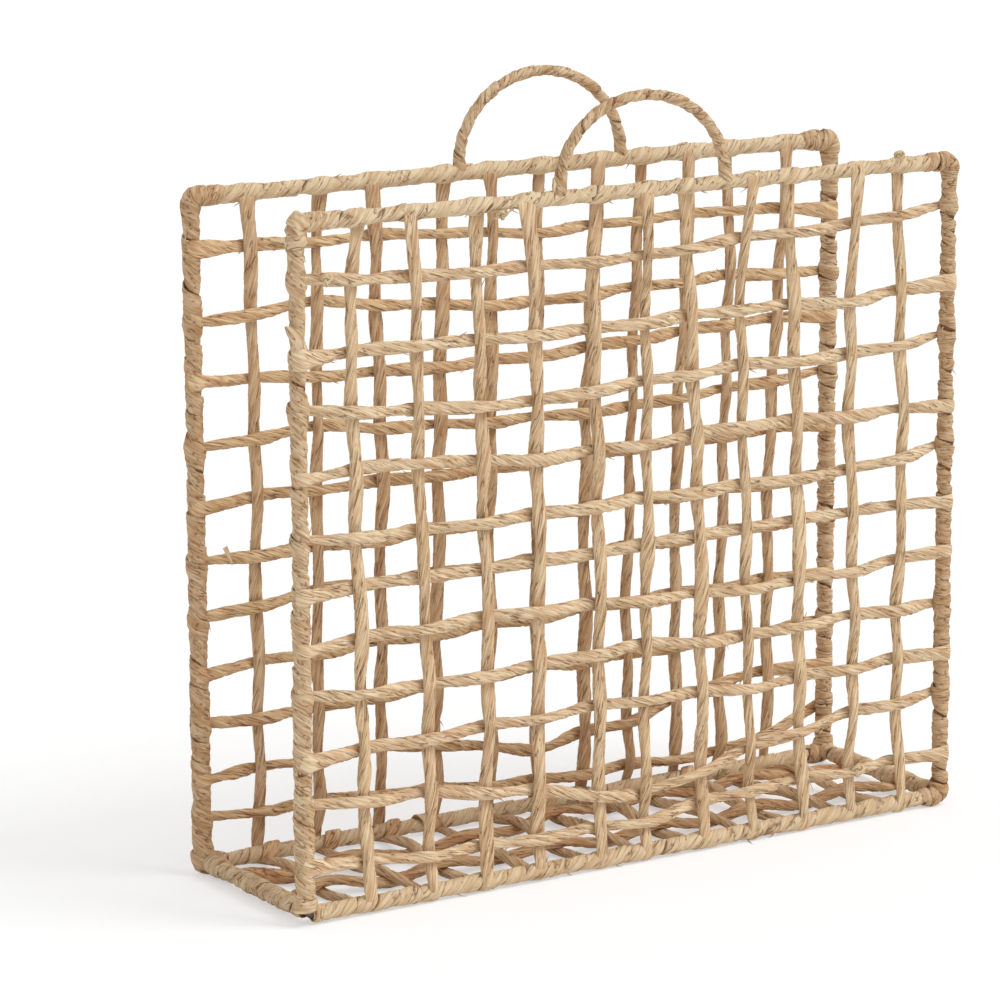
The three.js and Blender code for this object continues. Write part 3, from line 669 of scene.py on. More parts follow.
# Makes one strand along points of x, y, z, half width and half thickness
def makeStrand(name, points, flatWay, twist, material, nodes, seed, tone=0.0, folds=None,
               spacing=cordSizes["spacing"]):
    random = np.random.default_rng(seed)
    stations, route = smoothRoute(points, spacing)
    pressedHalf, looser = cordSizes["pressed"]
    loose = np.clip((route[:, 4] - pressedHalf) / looser, 0, 1)
    width = route[:, 3] * (1 + cordSizes["widthUnevenness"] * wander(
        random, stations, cordSizes["widthWave"]))
    thickness = route[:, 4] * (1 + cordSizes["thicknessUnevenness"] * wander(
        random, stations, cordSizes["thicknessWave"]))
    # Away from its laps the strand steps a little to each side
    sidestep = cordSizes["sidestep"] * wander(random, stations, cordSizes["sidestepWave"]) * loose
    ways = np.tile(np.asarray(flatWay, float), (len(stations), 1))
    middle = route[:, :3] + sidestep[:, None] * ways
    # A cord grows browner from the front panel to the back panel: painted shade towards the back
    depthShares = np.clip((middle[:, 1] - basket["frontY"]) / basketDepth, 0, 1)
    reachesBack = abs(middle[0, 1] - middle[-1, 1]) >= basketDepth / 2
    path = pathMesh(name, middle, {
        "flatWay": ways, "halfWidth": width, "halfThickness": thickness,
        "browning": cordSizes["backShadeTone"] * depthShares * reachesBack})
    routes[name] = (middle, flatWay, width)
    values = {**foldSizes, "Twist": twist * random.uniform(*cordSizes["twistRange"]),
              "Seed": seed * seedStep, "Tone": tone + random.uniform(*cordSizes["toneRange"]),
              "Material": material, **(folds or {})}
    return makePiece(name, path, strandTree, values, nodes)


def crossing(panel, warp, weft):
    heightShare = panel["wefts"][weft][0]
    for step in range(4):  # each step comes closer to where the two cords cross
        widthShare = np.interp(heightShare, warpHeightShares, panel["warps"][warp])
        heightShare = np.interp(widthShare, weftPlaceShares, panel["wefts"][weft])
    return (widthShare - 0.5) * basketWidth, basket["bottomZ"] + heightShare * basketHeight


# 1 where the weft lies before the warp as seen from the front, -1 where it lies behind
def weftSide(panel, warp, weft):
    start = panel["starts"][weft]
    return -1 if start == 0 else start * (1 if warp % 2 == 0 else -1)


# A pressed lap round a wound wire: rows of degrees, and radius, width and thickness in millimetres
def lapArc(centre, fromWay, towardsWay, rows, widen=1.0):
    points = []
    for degrees, radius, width, thickness in rows:
        angle = math.radians(degrees)
        place = (np.array(centre) + radius * mm * math.cos(angle) * np.array(fromWay)
                 + radius * mm * math.sin(angle) * np.array(towardsWay))
        points.append([*place, width * widen * mm / 2, thickness * mm / 2])
    return points


# Between a lap and the first crossing the strand draws together from flat to round; it is left
# straight over the last clearRun
def drawTogether(lapEnd, firstCrossing, stretches, clearRun=4 * mm):
    lapEnd, firstCrossing = np.array(lapEnd), np.array(firstCrossing)
    length = np.linalg.norm(firstCrossing[:3] - lapEnd[:3])
    points = []
    for distance, share in stretches:
        if distance * mm < length - clearRun:
            place = lapEnd[:3] + (firstCrossing[:3] - lapEnd[:3]) * distance * mm / length
            size = lapEnd[3:] + (firstCrossing[3:] - lapEnd[3:]) * share
            points.append([*place, *size])
    return points


# One end of a lengthwise cord: its lap, and its run to the first crossing
def lappedEnd(firstCrossing, stretches, *lap):
    end = lapArc(*lap)
    return [*end, *drawTogether(end[-1], firstCrossing, stretches)]


# Laps start and end sunk in the winding, so that they come out of it without an edge
laps = {
    "top": [(58, 2.3, 6.6, 1.2), (84, 2.9, 7.8, 1.5), (112, 4.0, 8.2, 2.3)],
    "over": [(22, 2.6, 6.0, 1.2), (42, 3.4, 7.2, 1.6), (66, 4.1, 8.2, 1.9), (90, 4.3, 8.8, 2.0),
             (108, 4.1, 8.6, 2.4)],
    "foot": [(55, 4.1, 6.2, 2.6), (80, 3.8, 6.6, 1.8), (105, 3.6, 6.8, 1.4), (140, 4.1, 7.0, 1.6),
             (180, 4.3, 6.9, 1.7), (215, 4.4, 6.4, 2.4)],
    "tuckedFoot": [(45, 4.1, 6.2, 2.6), (66, 3.4, 6.8, 1.8), (86, 2.4, 7.0, 1.2),
                   (140, 2.3, 7.2, 1.2), (165, 3.2, 7.4, 1.4), (184, 4.1, 7.4, 1.6),
                   (212, 4.4, 6.8, 2.4)],
    "fan": [(-88, 3.1, 6.8, 1.2), (-60, 4.0, 8.0, 1.5), (-18, 4.7, 9.0, 1.9), (14, 5.0, 8.8, 2.4),
            (34, 5.2, 8.0, 3.0)],
    "hidden": [(-80, 2.6, 6.5, 1.2), (-45, 3.4, 6.5, 1.6), (-10, 4.2, 5.4, 2.2),
               (24, 4.8, 4.4, 2.9)],
    "loop": [(-60, 3.4, 5.4, 1.4), (-22, 4.5, 7.2, 2.2), (28, 5.0, 8.6, 2.8), (80, 5.1, 8.8, 2.8),
             (122, 4.8, 8.0, 2.6), (158, 4.0, 6.6, 1.8)],
    "base": [(-75, 2.6, 6.6, 1.4), (-45, 3.5, 7.6, 1.8), (-15, 4.2, 8.0, 2.1), (18, 4.6, 7.4, 2.6)],
}
lapAside = 2.4 * mm  # a top lap's middle lies this far from its warp's, to the side that it passes
# Millimetres from a lap, and how far the strand has drawn together there
stretches = {
    "warpTop": [(5, 0.3), (11, 0.75)], "warpFoot": [(5, 0.5)],
    "fan": [(6, 0.25), (14, 0.6), (23, 0.9)], "hidden": [(6, 0.4), (12, 0.8)],
}


def warpLeg(panel, warp, width):
    topX, footX = ((panel["warps"][warp][row] - 0.5) * basketWidth for row in (-1, 0))
    side = weftSide(panel, warp, 0)
    widen = width / cordSizes["warpWidth"]
    top = lapArc((topX + side * lapAside, panel["y"], basket["topZ"]), (0, 0, 1), (0, side, 0),
                 laps["over" if warp in panel["overLaps"] else "top"], widen)
    woven = []
    for weft in range(cordCount):
        x, z = crossing(panel, warp, weft)
        y = panel["y"] + weftSide(panel, warp, weft) * cordSizes["warpOffset"]
        pinch = panel["pinches"].get((warp, weft), 1.0)
        woven.append([x, y, z, width / 2 * pinch, cordSizes["warpThickness"] / 2])
    foot = lapArc((footX, panel["y"], basket["bottomZ"]), (0, 0, 1), (0, panel["out"], 0),
                  laps["tuckedFoot" if warp in panel["tuckedFeet"] else "foot"], widen)
    above = drawTogether(top[-1], woven[0], stretches["warpTop"])
    below = drawTogether(foot[0], woven[-1], stretches["warpFoot"])
    return [*top, *above, *woven, *below, *foot]


# Places of the base cords from front to back: at the left bar, at each warp and at the right bar
baseCordShares = [
    [0.30, 0.36, 0.31, 0.32, 0.33, 0.30, 0.30, 0.30, 0.30, 0.30, 0.30, 0.30, 0.30],
    [0.87, 0.62, 0.66, 0.64, 0.65, 0.72, 0.78, 0.78, 0.78, 0.78, 0.78, 0.78, 0.78],
]
baseCordStarts = [1, -1]
baseSpreads = [{}, {0: 1.6}]  # the back cord lies spread between the left bar and its first warp
spreadRise = 2.0 * mm  # a cord spread to twice its width lies this much higher
baseLean = 7 * mm  # the warps lean this far to the left on their way under the base cords


def baseCrossing(warp, cord):
    share = baseCordShares[cord][warp + 1]
    frontX = (frontWarpShares[warp][0] - 0.5) * basketWidth - baseLean
    backX = (backWarpShares[warp][0] - 0.5) * basketWidth
    side = baseCordStarts[cord] * (1 if warp % 2 == 0 else -1)
    return frontX + (backX - frontX) * share, basket["frontY"] + share * basketDepth, side


def warpPoints(warp, width):
    points = warpLeg(panels["front"], warp, width)
    for cord in range(len(baseCordShares)):
        x, y, side = baseCrossing(warp, cord)
        z = basket["bottomZ"] - side * cordSizes["baseOffset"]
        points.append([x, y, z, width / 2, cordSizes["baseThickness"] / 2])
    return points + warpLeg(panels["back"], warp, width)[::-1]


# The basket's ends: direction, nearest warp and column of the tables of shares
hands = {"left": (-1, 0, 0), "right": (1, cordCount - 1, -1)}


def weftPoints(panel, weft):
    size = [cordSizes["weftWidth"] / 2, cordSizes["weftThickness"] / 2]
    woven = []
    for warp in range(cordCount):
        x, z = crossing(panel, warp, weft)
        y = panel["y"] - weftSide(panel, warp, weft) * cordSizes["weftOffset"]
        woven.append([x, y, z, *size])
    ends = []
    for sideX, warp, column in hands.values():
        side = weftSide(panel, warp, weft)
        z = basket["bottomZ"] + panel["wefts"][weft][column] * basketHeight
        kind = "fan" if side == -1 else "hidden"
        ends.append(lappedEnd(
            woven[warp], stretches[kind], (sideX * basket["postX"], panel["y"], z), (0, side, 0),
            (-sideX, 0, 0), laps[kind], panel["fans"][weft]))
    return [*ends[0], *woven, *ends[1][::-1]]


def baseCordPoints(cord):
    size = [cordSizes["baseWidth"] / 2, cordSizes["baseThickness"] / 2]
    woven = []
    for warp in range(cordCount):
        x, y, side = baseCrossing(warp, cord)
        spread = baseSpreads[cord].get(warp, 1.0)
        z = basket["bottomZ"] + side * cordSizes["baseOffset"] + spreadRise * (spread - 1)
        woven.append([x, y, z, size[0] * spread, size[1] * spread ** 0.5])
    ends = []
    for sideX, warp, column in hands.values():
        y = basket["frontY"] + baseCordShares[cord][column] * basketDepth
        ends.append(lappedEnd(
            woven[warp], stretches["hidden"], (sideX * basket["baseBarX"], y, basket["baseBarZ"]),
            (0, 0, -1), (-sideX, 0, 0), laps["base"], baseSpreads[cord].get(warp, 1.0)))
    return [*ends[0], *woven, *ends[1][::-1]]


warpWidthShares = [1.02, 1.0, 1.05, 1.1, 1.05, 0.9, 1.1, 0.9, 1.08, 0.95, 1.02]
for warp in range(cordCount):
    name = f"warp_{warp + 1:02d}"
    width = cordSizes["warpWidth"] * warpWidthShares[warp]
    makeStrand(name + "_cord", warpPoints(warp, width), (1, 0, 0), cordSizes["warpTwist"], warpRaffia,
               [name], cordSeeds["warp"] + warp, 0.0, warpFolds)
for side, material, slot in (("front", twistedRaffia, "woven_cord"),
                             ("back", shadedRaffia, "shaded_cord")):
    for weft in range(cordCount):
        name = f"{side}_weft_{weft + 1:02d}"
        makeStrand(name + "_cord", weftPoints(panels[side], weft), (0, 0, 1), cordSizes["weftTwist"],
                   material, [name], cordSeeds[side] + weft)
for cord, name in enumerate(("front_base_cord", "back_base_cord")):
    makeStrand(name + "_strand", baseCordPoints(cord), (0, 1, 0), cordSizes["baseTwist"],
               shadedRaffia, [name], cordSeeds["base"] + cord, cordSizes["baseTone"])

# On the back rail some warps take one more turn before they go on along the base: how far beside
# the warp it lies, and how far it runs along the rail from one row of its lap to the next
turnLook = {"beside": {0: 5.0, 1: 6.0, 2: 5.5, 3: -6.0, 5: 6.0, 6: -5.5, 8: 6.0},  # in millimetres
            "slant": 2.4 * mm, "tone": 0.15}
for warp, beside in turnLook["beside"].items():
    footX = (backWarpShares[warp][0] - 0.5) * basketWidth + beside * mm
    turn = lapArc((footX, basket["backY"], basket["bottomZ"]), (0, 0, 1), (0, -1, 0), laps["loop"])
    slant, middleRow = math.copysign(turnLook["slant"], -beside), (len(turn) - 1) / 2
    slanted = [[x + slant * (row - middleRow), *rest] for row, (x, *rest) in enumerate(turn)]
    makeStrand(f"warp_{warp + 1:02d}_turn", slanted, (1, 0, 0), cordSizes["warpTwist"], shadedRaffia,
               [], cordSeeds["turn"] + warp, turnLook["tone"])


# opening: angle left open at each end of a knot; tail and flat: its tails' width and its strand's
# thickness as shares of the strand's width
knotShape = {"opening": 0.4, "steps": 34, "tail": 0.4, "flat": 0.8, "twist": 60, "seed": 200}


# A small knot of strip: a trefoil in the panel's plane with a tail at each end; in millimetres
def knotPoints(place, size, strandWidth, tails):
    angles = np.linspace(knotShape["opening"], fullTurn - knotShape["opening"], knotShape["steps"])
    across = (np.sin(angles) + 2 * np.sin(2 * angles)) * size / 3
    through = -np.sin(3 * angles) * size / 3
    upward = (np.cos(angles) - 2 * np.cos(2 * angles)) * size / 3
    loops = np.stack([across, through, upward], axis=1)
    centred = np.concatenate([[tails[0]], loops, [tails[1]]]) + np.array(place)
    half = strandWidth / 2
    sizes = [knotShape["tail"] * half, *[half] * len(angles), knotShape["tail"] * half]
    return [[*(point * mm), size * mm, knotShape["flat"] * size * mm]
            for point, size in zip(centred, sizes)]


# Where a strip is joined on or left over, as on the basket: places, and tails from the place
looseKnots = {
    "front_rail_right_knot": {"place": (165.8, -53.8, 359.6), "size": 2.5, "strandWidth": 2.3,
                              "tails": [(-5.5, -3.4, -4.5), (6.5, -3.0, -3.0)]},
    "front_rail_left_knot": {"place": (-84.0, -57.3, 349.6), "size": 2.3, "strandWidth": 2.0,
                             "tails": [(-5.0, 1.2, -2.0), (7.0, 0.9, 2.0)]},
    "front_weft_01_knot": {"place": (-185.4, -56.8, 326.0), "size": 2.8, "strandWidth": 2.4,
                           "tails": [(-7.0, 0.5, -1.5), (8.0, 0.8, 0.5)]},
    "front_weft_11_knot": {"place": (140.5, -58.0, 29.6), "size": 3.2, "strandWidth": 2.6,
                           "tails": [(-9.0, 2.0, 0.0), (9.0, 2.2, -0.5)]},
}
# Rows of x, y, z and width
looseTails = {
    "front_left_post_flap": [(-198.5, -57.4, 291.0, 4.6), (-203.4, -58.0, 298.5, 6.0),
                             (-206.6, -57.4, 302.5, 5.2), (-208.6, -56.8, 305.0, 1.6)],
    "front_handle_tuft": [(-50.0, -54.0, 357.0, 4.4), (-51.3, -54.6, 360.5, 3.6),
                          (-52.3, -54.8, 365.0, 0.7)],
    "warp_02_tail": [(-138.5, -57.6, 350.0, 2.2), (-139.4, -58.0, 341.0, 2.4),
                     (-137.4, -57.6, 333.0, 0.7)],
    "back_weft_06_tail": [(-186.0, 48.6, 173.0, 2.6), (-184.2, 48.0, 168.5, 2.2),
                          (-182.6, 47.6, 163.5, 0.6)],
}
tailShape = {"halfThickness": 0.45 * mm, "twist": 30, "seed": 220}
looseSpacing = 0.5 * mm
looseFolds = {"Step": 0.6 * mm, "Sides": 14, "Lay Radius": 1.2 * mm, "Fold Spacing": 1.6 * mm,
              "Fold Length": 9 * mm, "Fold Depth": 0.6 * mm}
for order, (name, knot) in enumerate(looseKnots.items()):
    makeStrand(name, knotPoints(**knot), (0, 1, 0), knotShape["twist"], stripRaffia,
               [], knotShape["seed"] + order, 0.0, looseFolds, looseSpacing)
for order, (name, points) in enumerate(looseTails.items()):
    blade = [[x * mm, y * mm, z * mm, width * mm / 2, tailShape["halfThickness"]]
             for x, y, z, width in points]
    makeStrand(name, blade, (1, 0, 0), tailShape["twist"], stripRaffia, [],
               tailShape["seed"] + order, 0.0, looseFolds, looseSpacing)
print("scene: cords made")


# Values that most windings share, then what each kind has of its own
windingBase = {"Liner Radius": 2.7 * mm, "Liner Share": 0.85, "Turn Steps": 26, "Sides": 24,
               "Mean Radius": 3.5 * mm, "Lift": 0.5 * mm, "Unevenness": 0.45, "Fullness": 0.8,
               "Fold Spacing": 1.9 * mm, "Fold Length": 9 * mm, "Fold Depth": 1.0 * mm}
windingLook = {
    "rail": {"Liner Share": 0.9, "Pitch": 12.5 * mm, "Turn Steps": 28, "Sides": 26,
             "Mean Radius": 3.3 * mm, "Strip Width": 13.6 * mm, "Strip Thickness": 1.1 * mm,
             "Fullness": 0.55, "Lift": 0.35 * mm, "Unevenness": 0.3, "Swell": 1.8 * mm,
             "Shear": -0.35, "Fold Spacing": 2.4 * mm, "Fold Length": 18 * mm,
             "Fold Depth": 0.6 * mm},
    "post": {"Pitch": 7.6 * mm, "Strip Width": 8.8 * mm, "Strip Thickness": 2.5 * mm,
             "Fullness": 0.9, "Swell": 1.3 * mm, "Shear": 0.3, "Fold Spacing": 2.0 * mm,
             "Fold Depth": 0.8 * mm},
    "gathered": {"Liner Share": 0.9, "Pitch": 13 * mm, "Turn Steps": 34, "Sides": 30,
                 "Mean Radius": 3.9 * mm, "Strip Width": 15.5 * mm, "Strip Thickness": 1.9 * mm,
                 "Lift": 0.65 * mm, "Unevenness": 0.38, "Swell": 1.9 * mm, "Shear": -0.15,
                 "Fold Spacing": 1.7 * mm},
    "handle": {"Liner Radius": 2.15 * mm, "Pitch": 11 * mm, "Sides": 22, "Mean Radius": 2.6 * mm,
               "Strip Width": 11.4 * mm, "Strip Thickness": 1.2 * mm, "Fullness": 0.6,
               "Lift": 0.4 * mm, "Unevenness": 0.35, "Swell": 0.9 * mm, "Shear": -0.3,
               "Fold Length": 12 * mm, "Fold Depth": 0.75 * mm},
    "base": {"Pitch": 8.2 * mm, "Strip Width": 10.6 * mm, "Strip Thickness": 2.2 * mm,
             "Swell": 1.8 * mm, "Shear": -0.2, "Fold Length": 10 * mm},
}
seedTurn = 0.37  # turns between the starts of two windings whose seeds follow each other
windingSeeds = {"post": 120, "rail": 130, "handle": 140, "base": 150}
stripProud = 0.8 * mm  # the strip's outside over the core's radius


def makeWinding(name, kind, points, coreRadii, seed, material, tone=0.0, sideAxis=(0.0, 1.0, 0.0)):
    values = {**windingBase, **windingLook[kind], "Side Axis": sideAxis, "Seed": seed * seedStep,
              "Tone": tone, "Start Turn": seed * seedTurn, "Material": material}
    path = pathMesh(name, points, {"coreRadius": coreRadii})
    sideWay = (1, 0, 0) if "post" in name else (0, 0, 1)
    routes[name + "_winding"] = (points, sideWay, coreRadii + stripProud)
    return makePiece(name + "_winding", path, windingTree, values, [name + "_wrap"])


# Evenly spaced points along a bent line
def evenPoints(corners, spacing=cordSizes["spacing"]):
    corners = np.array(corners, float)
    stations, fine = stationsAlong(corners, spacing)
    return np.stack([np.interp(fine, stations, corners[:, axis]) for axis in range(3)], axis=1)


# Rounded changes of a core's radius: how far they reach and how high they are in millimetres, and
# how steep their sides are
windingSwells = {
    "weftEnd": (5, 1.0, 4), "postCorner": (9, 1.0, 4), "baseCordEnd": (6, 0.8, 4),
    "topRailWarp": (6, 0.9, 4), "topRailCorner": (26, 0.8, 2),
    "bottomRailWarp": (6, 0.3, 4), "bottomRailCorner": (26, 0.2, 2), "railEnd": (5, -1.5, 2),
    "handleFoot": (12, 0.8, 2), "handleEnd": (1.6, -1.8, 2), "handleForward": (9, -1.0, 2),
}


def swell(distances, name):
    reach, height, steepness = windingSwells[name]
    return height * mm * np.exp(-(distances / (reach * mm)) ** steepness)


# Quarter bend of the frame round one of its corners, as seen from the front
def cornerBend(panelY, sideX, sideZ, degrees):
    radius = basket["bendRadius"]
    centreX = basket["postX"] - radius
    centreZ = basket["topZ"] - radius if sideZ > 0 else basket["bottomZ"] + radius
    angles = np.radians(np.linspace(*degrees, basket["bendPoints"]))
    return [(sideX * (centreX + radius * math.cos(angle)), panelY,
             centreZ + sideZ * radius * math.sin(angle)) for angle in angles]


# Radii under the strip: posts at their foot and head, rails, handles and base bars
coreSizes = {
    "front_left_post": (4.1 * mm, 2.9 * mm), "front_right_post": (3.2 * mm, 2.8 * mm),
    "back_left_post": (3.9 * mm, 3.5 * mm), "back_right_post": (3.5 * mm, 3.6 * mm),
    "front_top_rail": 3.15 * mm, "front_bottom_rail": 3.6 * mm,
    "back_top_rail": 3.45 * mm, "back_bottom_rail": 3.4 * mm,
    "handle": 2.35 * mm, "base": 3.5 * mm,
}
# stubs: how far the posts' strip runs on along the rails; there it thins over thinReach by
# thinning. bareFoot: one post's strip ends this high, and the wire's bend shows under it.
# weftEndShares: height of the swells over the wefts' ends at a post's foot, and more at its head
postShape = {
    "stubs": {"bottom": 14 * mm, "top": 22 * mm}, "thinReach": 8 * mm, "thinning": 1.6 * mm,
    "thinPower": 1.5, "bareFoot": {"front_left_post": 3.2 * mm}, "weftEndShares": (0.6, 0.8),
    "cornerShare": 0.4,
    "tones": {"front_left_post": 0.06, "front_right_post": 0.32, "back_left_post": 0.28,
              "back_right_post": 0.2},
}
railShape = {"short": 9 * mm, "bareCornerReach": 5.5 * mm, "tones": {"top": 0.0, "bottom": 0.12}}
# The handles' tone darkens their winding: painted shade
handleShape = {"archFoot": 4.1 * mm, "sunk": 1.2 * mm, "steps": 96, "spacing": 1.2 * mm, "tone": 0.14}
# besideCord: a thick place on the base bars this far beside the front cord's end
barShape = {"short": 3 * mm, "besideCord": 14 * mm}


def makePost(side, panel, hand):
    name, (sideX, warp, column) = f"{side}_{hand}_post", hands[hand]
    y, cornerX, stubs = panel["y"], sideX * basket["postX"], postShape["stubs"]
    foot = [(cornerX - sideX * stubs["bottom"], y, basket["bottomZ"]),
            *cornerBend(y, sideX, -1, (90, 0))]
    if name in postShape["bareFoot"]:
        foot = [(cornerX, y, basket["bottomZ"] + postShape["bareFoot"][name])]
    points = evenPoints([*foot, *cornerBend(y, sideX, 1, (0, 90)),
                         (cornerX - sideX * stubs["top"], y, basket["topZ"])])
    # The strip swells over the laps of the wefts that pass before the last warp
    wefts = [basket["bottomZ"] + row[column] * basketHeight
             for weft, row in enumerate(panel["wefts"]) if weftSide(panel, warp, weft) == 1]
    heights = points[:, 2]
    heightShares = (heights - basket["bottomZ"]) / basketHeight
    radii = np.interp(heightShares, (0, 1), coreSizes[name])
    lower, more = postShape["weftEndShares"]
    weftEnds = sum(swell(heights - weft, "weftEnd") for weft in wefts)
    radii = radii + weftEnds * (lower + more * heightShares)
    fromPost = np.abs(points[:, 0] - cornerX)
    cornerDistance = np.minimum(heights - basket["bottomZ"], basket["topZ"] - heights)
    radii = radii + swell(cornerDistance + postShape["cornerShare"] * fromPost, "postCorner")
    # Along the rails the strip runs out under the rail's winding
    reach = np.where(heightShares > 0.5, stubs["top"], stubs["bottom"])
    thinned = np.clip((fromPost - reach) / postShape["thinReach"] + 1, 0, 1)
    radii = radii - postShape["thinning"] * thinned ** postShape["thinPower"]
    makeWinding(name, "gathered" if hand == "left" else "post", points, radii,
                windingSeeds["post"] + len(side) * 2 + sideX, gatheredRaffia,
                postShape["tones"][name])


def makeRail(side, panel, rail, z, row):
    name, y, reach = f"{side}_{rail}_rail", panel["y"], basket["postX"] - railShape["short"]
    leftReach = reach + (railShape["bareCornerReach"] if (side, rail) == ("front", "bottom") else 0)
    points = evenPoints([(-leftReach, y, z), (reach, y, z)])
    along = points[:, 0]
    warps = [(shares[row] - 0.5) * basketWidth for shares in panel["warps"]]
    radii = coreSizes[name] + sum(swell(along - warp, f"{rail}RailWarp") for warp in warps)
    radii = radii + swell(basket["postX"] - np.abs(along), f"{rail}RailCorner")
    radii = radii + swell(np.minimum(along + leftReach, reach - along), "railEnd")
    makeWinding(name, "rail", points, radii, windingSeeds["rail"] + len(side) + len(rail),
                stripRaffia, railShape["tones"][rail])


def makeHandle(side, panel):
    handle, y, spacing = panel["handle"], panel["y"], handleShape["spacing"]
    footZ = basket["topZ"] + handleShape["archFoot"]
    arch = [(handle["x"] - handle["half"] * math.cos(angle), y,
             footZ + (handle["top"] - footZ) * math.sin(angle))
            for angle in np.linspace(0, math.pi, handleShape["steps"] + 1)]
    ends = [(arch[end][0], y, basket["topZ"] - handleShape["sunk"]) for end in (0, -1)]
    points = evenPoints([ends[0], *arch, ends[1]], spacing)
    order = np.arange(len(points))
    fromFoot = np.minimum(order, order[::-1]) * spacing
    points[:, 1] += swell(fromFoot, "handleForward")
    radii = coreSizes["handle"] + swell(fromFoot, "handleFoot") + swell(fromFoot, "handleEnd")
    makeWinding(f"{side}_handle", "handle", points, radii, windingSeeds["handle"] + len(side),
                gatheredRaffia, handleShape["tone"])


for side, panel in panels.items():
    for hand in hands:
        makePost(side, panel, hand)
    for rail, z, row in (("top", basket["topZ"], -1), ("bottom", basket["bottomZ"], 0)):
        makeRail(side, panel, rail, z, row)
    makeHandle(side, panel)
for hand, (sideX, warp, column) in hands.items():
    x, reach = sideX * basket["baseBarX"], basketDepth / 2 - barShape["short"]
    points = evenPoints([(x, -reach, basket["baseBarZ"]), (x, reach, basket["baseBarZ"])])
    cordEnds = [basket["frontY"] + shares[column] * basketDepth for shares in baseCordShares]
    cordEnds.append(cordEnds[0] + barShape["besideCord"])
    radii = coreSizes["base"] + sum(swell(points[:, 1] - end, "baseCordEnd") for end in cordEnds)
    makeWinding(f"{hand}_base", "base", points, radii, windingSeeds["base"] + sideX,
                gatheredRaffia, sideAxis=(1.0, 0.0, 0.0))

# Turns made one by one at the front left post: the last above the bare bend, the rail's first
# beside it, and two that cross each other at the top. place: to the right of the post's middle and
# over the rail's; place, radius, width and lean in millimetres
lastTurns = {
    "front_left_foot_turn": {"rail": "bottomZ", "place": (0.0, 5.6), "towards": (1, 0, 0),
                             "flatWay": (0, 0, 1), "radius": 5.5, "width": 7.6, "lean": 1.6},
    "front_rail_first_turn": {"rail": "bottomZ", "place": (7.4, 0.0), "towards": (0, 0, 1),
                              "flatWay": (1, 0, 0), "radius": 3.7, "width": 6.4, "lean": 1.6},
    "front_corner_turn": {"rail": "topZ", "place": (1.0, -1.0), "towards": (-0.7, 0, 0.7),
                          "flatWay": (0.7, 0, 0.7), "radius": 5.0, "width": 8.4, "lean": 2.4},
    "front_crossing_turn": {"rail": "topZ", "place": (0.0, -8.0), "towards": (-1, 0, 0),
                            "flatWay": (0, 0, 1), "radius": 4.6, "width": 6.8, "lean": -4.0},
}
# A turn runs this many degrees to each side of the front; behind, its ends dip under it
turnShape = {"reach": 220, "step": 20, "thickness": 1.8, "dip": 1.2, "twist": 20, "seed": 240,
             "spacing": 0.8 * mm}
for order, (name, turn) in enumerate(lastTurns.items()):
    right, up = turn["place"]
    middle = (right * mm - basket["postX"], basket["frontY"], basket[turn["rail"]] + up * mm)
    rows = [(degrees, turn["radius"] - turnShape["dip"] * (abs(degrees) > 180), turn["width"],
             turnShape["thickness"])
            for degrees in range(-turnShape["reach"], turnShape["reach"] + 1, turnShape["step"])]
    ring = lapArc(middle, (0, -1, 0), turn["towards"], rows)
    lean = np.array(turn["flatWay"]) * turn["lean"] * mm
    leant = [[*(np.array(point[:3]) + lean * degrees / turnShape["reach"]), *point[3:]]
             for point, (degrees, *size) in zip(ring, rows)]
    makeStrand(name, leant, turn["flatWay"], turnShape["twist"], gatheredRaffia, [],
               turnShape["seed"] + order, 0.0, looseFolds, turnShape["spacing"])

# Short ends of fibre stand off the cords and the winding, so that no outline is quite smooth.
# Lengths in millimetres; forward: how far they lean to the front; bend: how far along and how
# high their middle lies; tip: their size at the end
wispLook = {"counts": {"weft": 60, "warp": 36, "rail": 24, "post": 28}, "length": (3.0, 7.0),
            "lift": (0.5, 2.2), "sunk": 1.3, "width": 1.1, "thickness": 0.5, "forward": 0.4,
            "bend": (0.45, 0.2), "tip": 0.35, "spacing": 0.6 * mm, "seed": 300}
wispFolds = {**foldSizes, **looseFolds, "Step": 0.7 * mm, "Sides": 8, "Fold Depth": 0.2 * mm,
             "Twist": 60.0, "Seed": 15.0, "Tone": 0.0, "Material": stripRaffia}


def wispRows(route, random):
    middle, sideWay, halfWidth = route
    index = random.integers(len(middle) // 20, len(middle) - len(middle) // 20)
    along = middle[index + 1] - middle[index - 1]
    along = along / np.linalg.norm(along) * random.choice([-1, 1])
    outward = np.array(sideWay) * random.choice([-1, 1]) + np.array([0, -wispLook["forward"], 0])
    outward = outward / np.linalg.norm(outward)
    length, lift = random.uniform(*wispLook["length"]), random.uniform(*wispLook["lift"])
    bendPlace, bendLift = wispLook["bend"]
    rows = []
    for share, rise, size in ((0, -wispLook["sunk"], 1.0), (bendPlace, bendLift * lift, 1.0),
                              (1.0, lift, wispLook["tip"])):
        place = middle[index] + along * length * share * mm + outward * (halfWidth[index] + rise * mm)
        rows.append([*place, *(wispLook[side] * mm / 2 * size for side in ("width", "thickness"))])
    return rows, np.cross(along, outward)


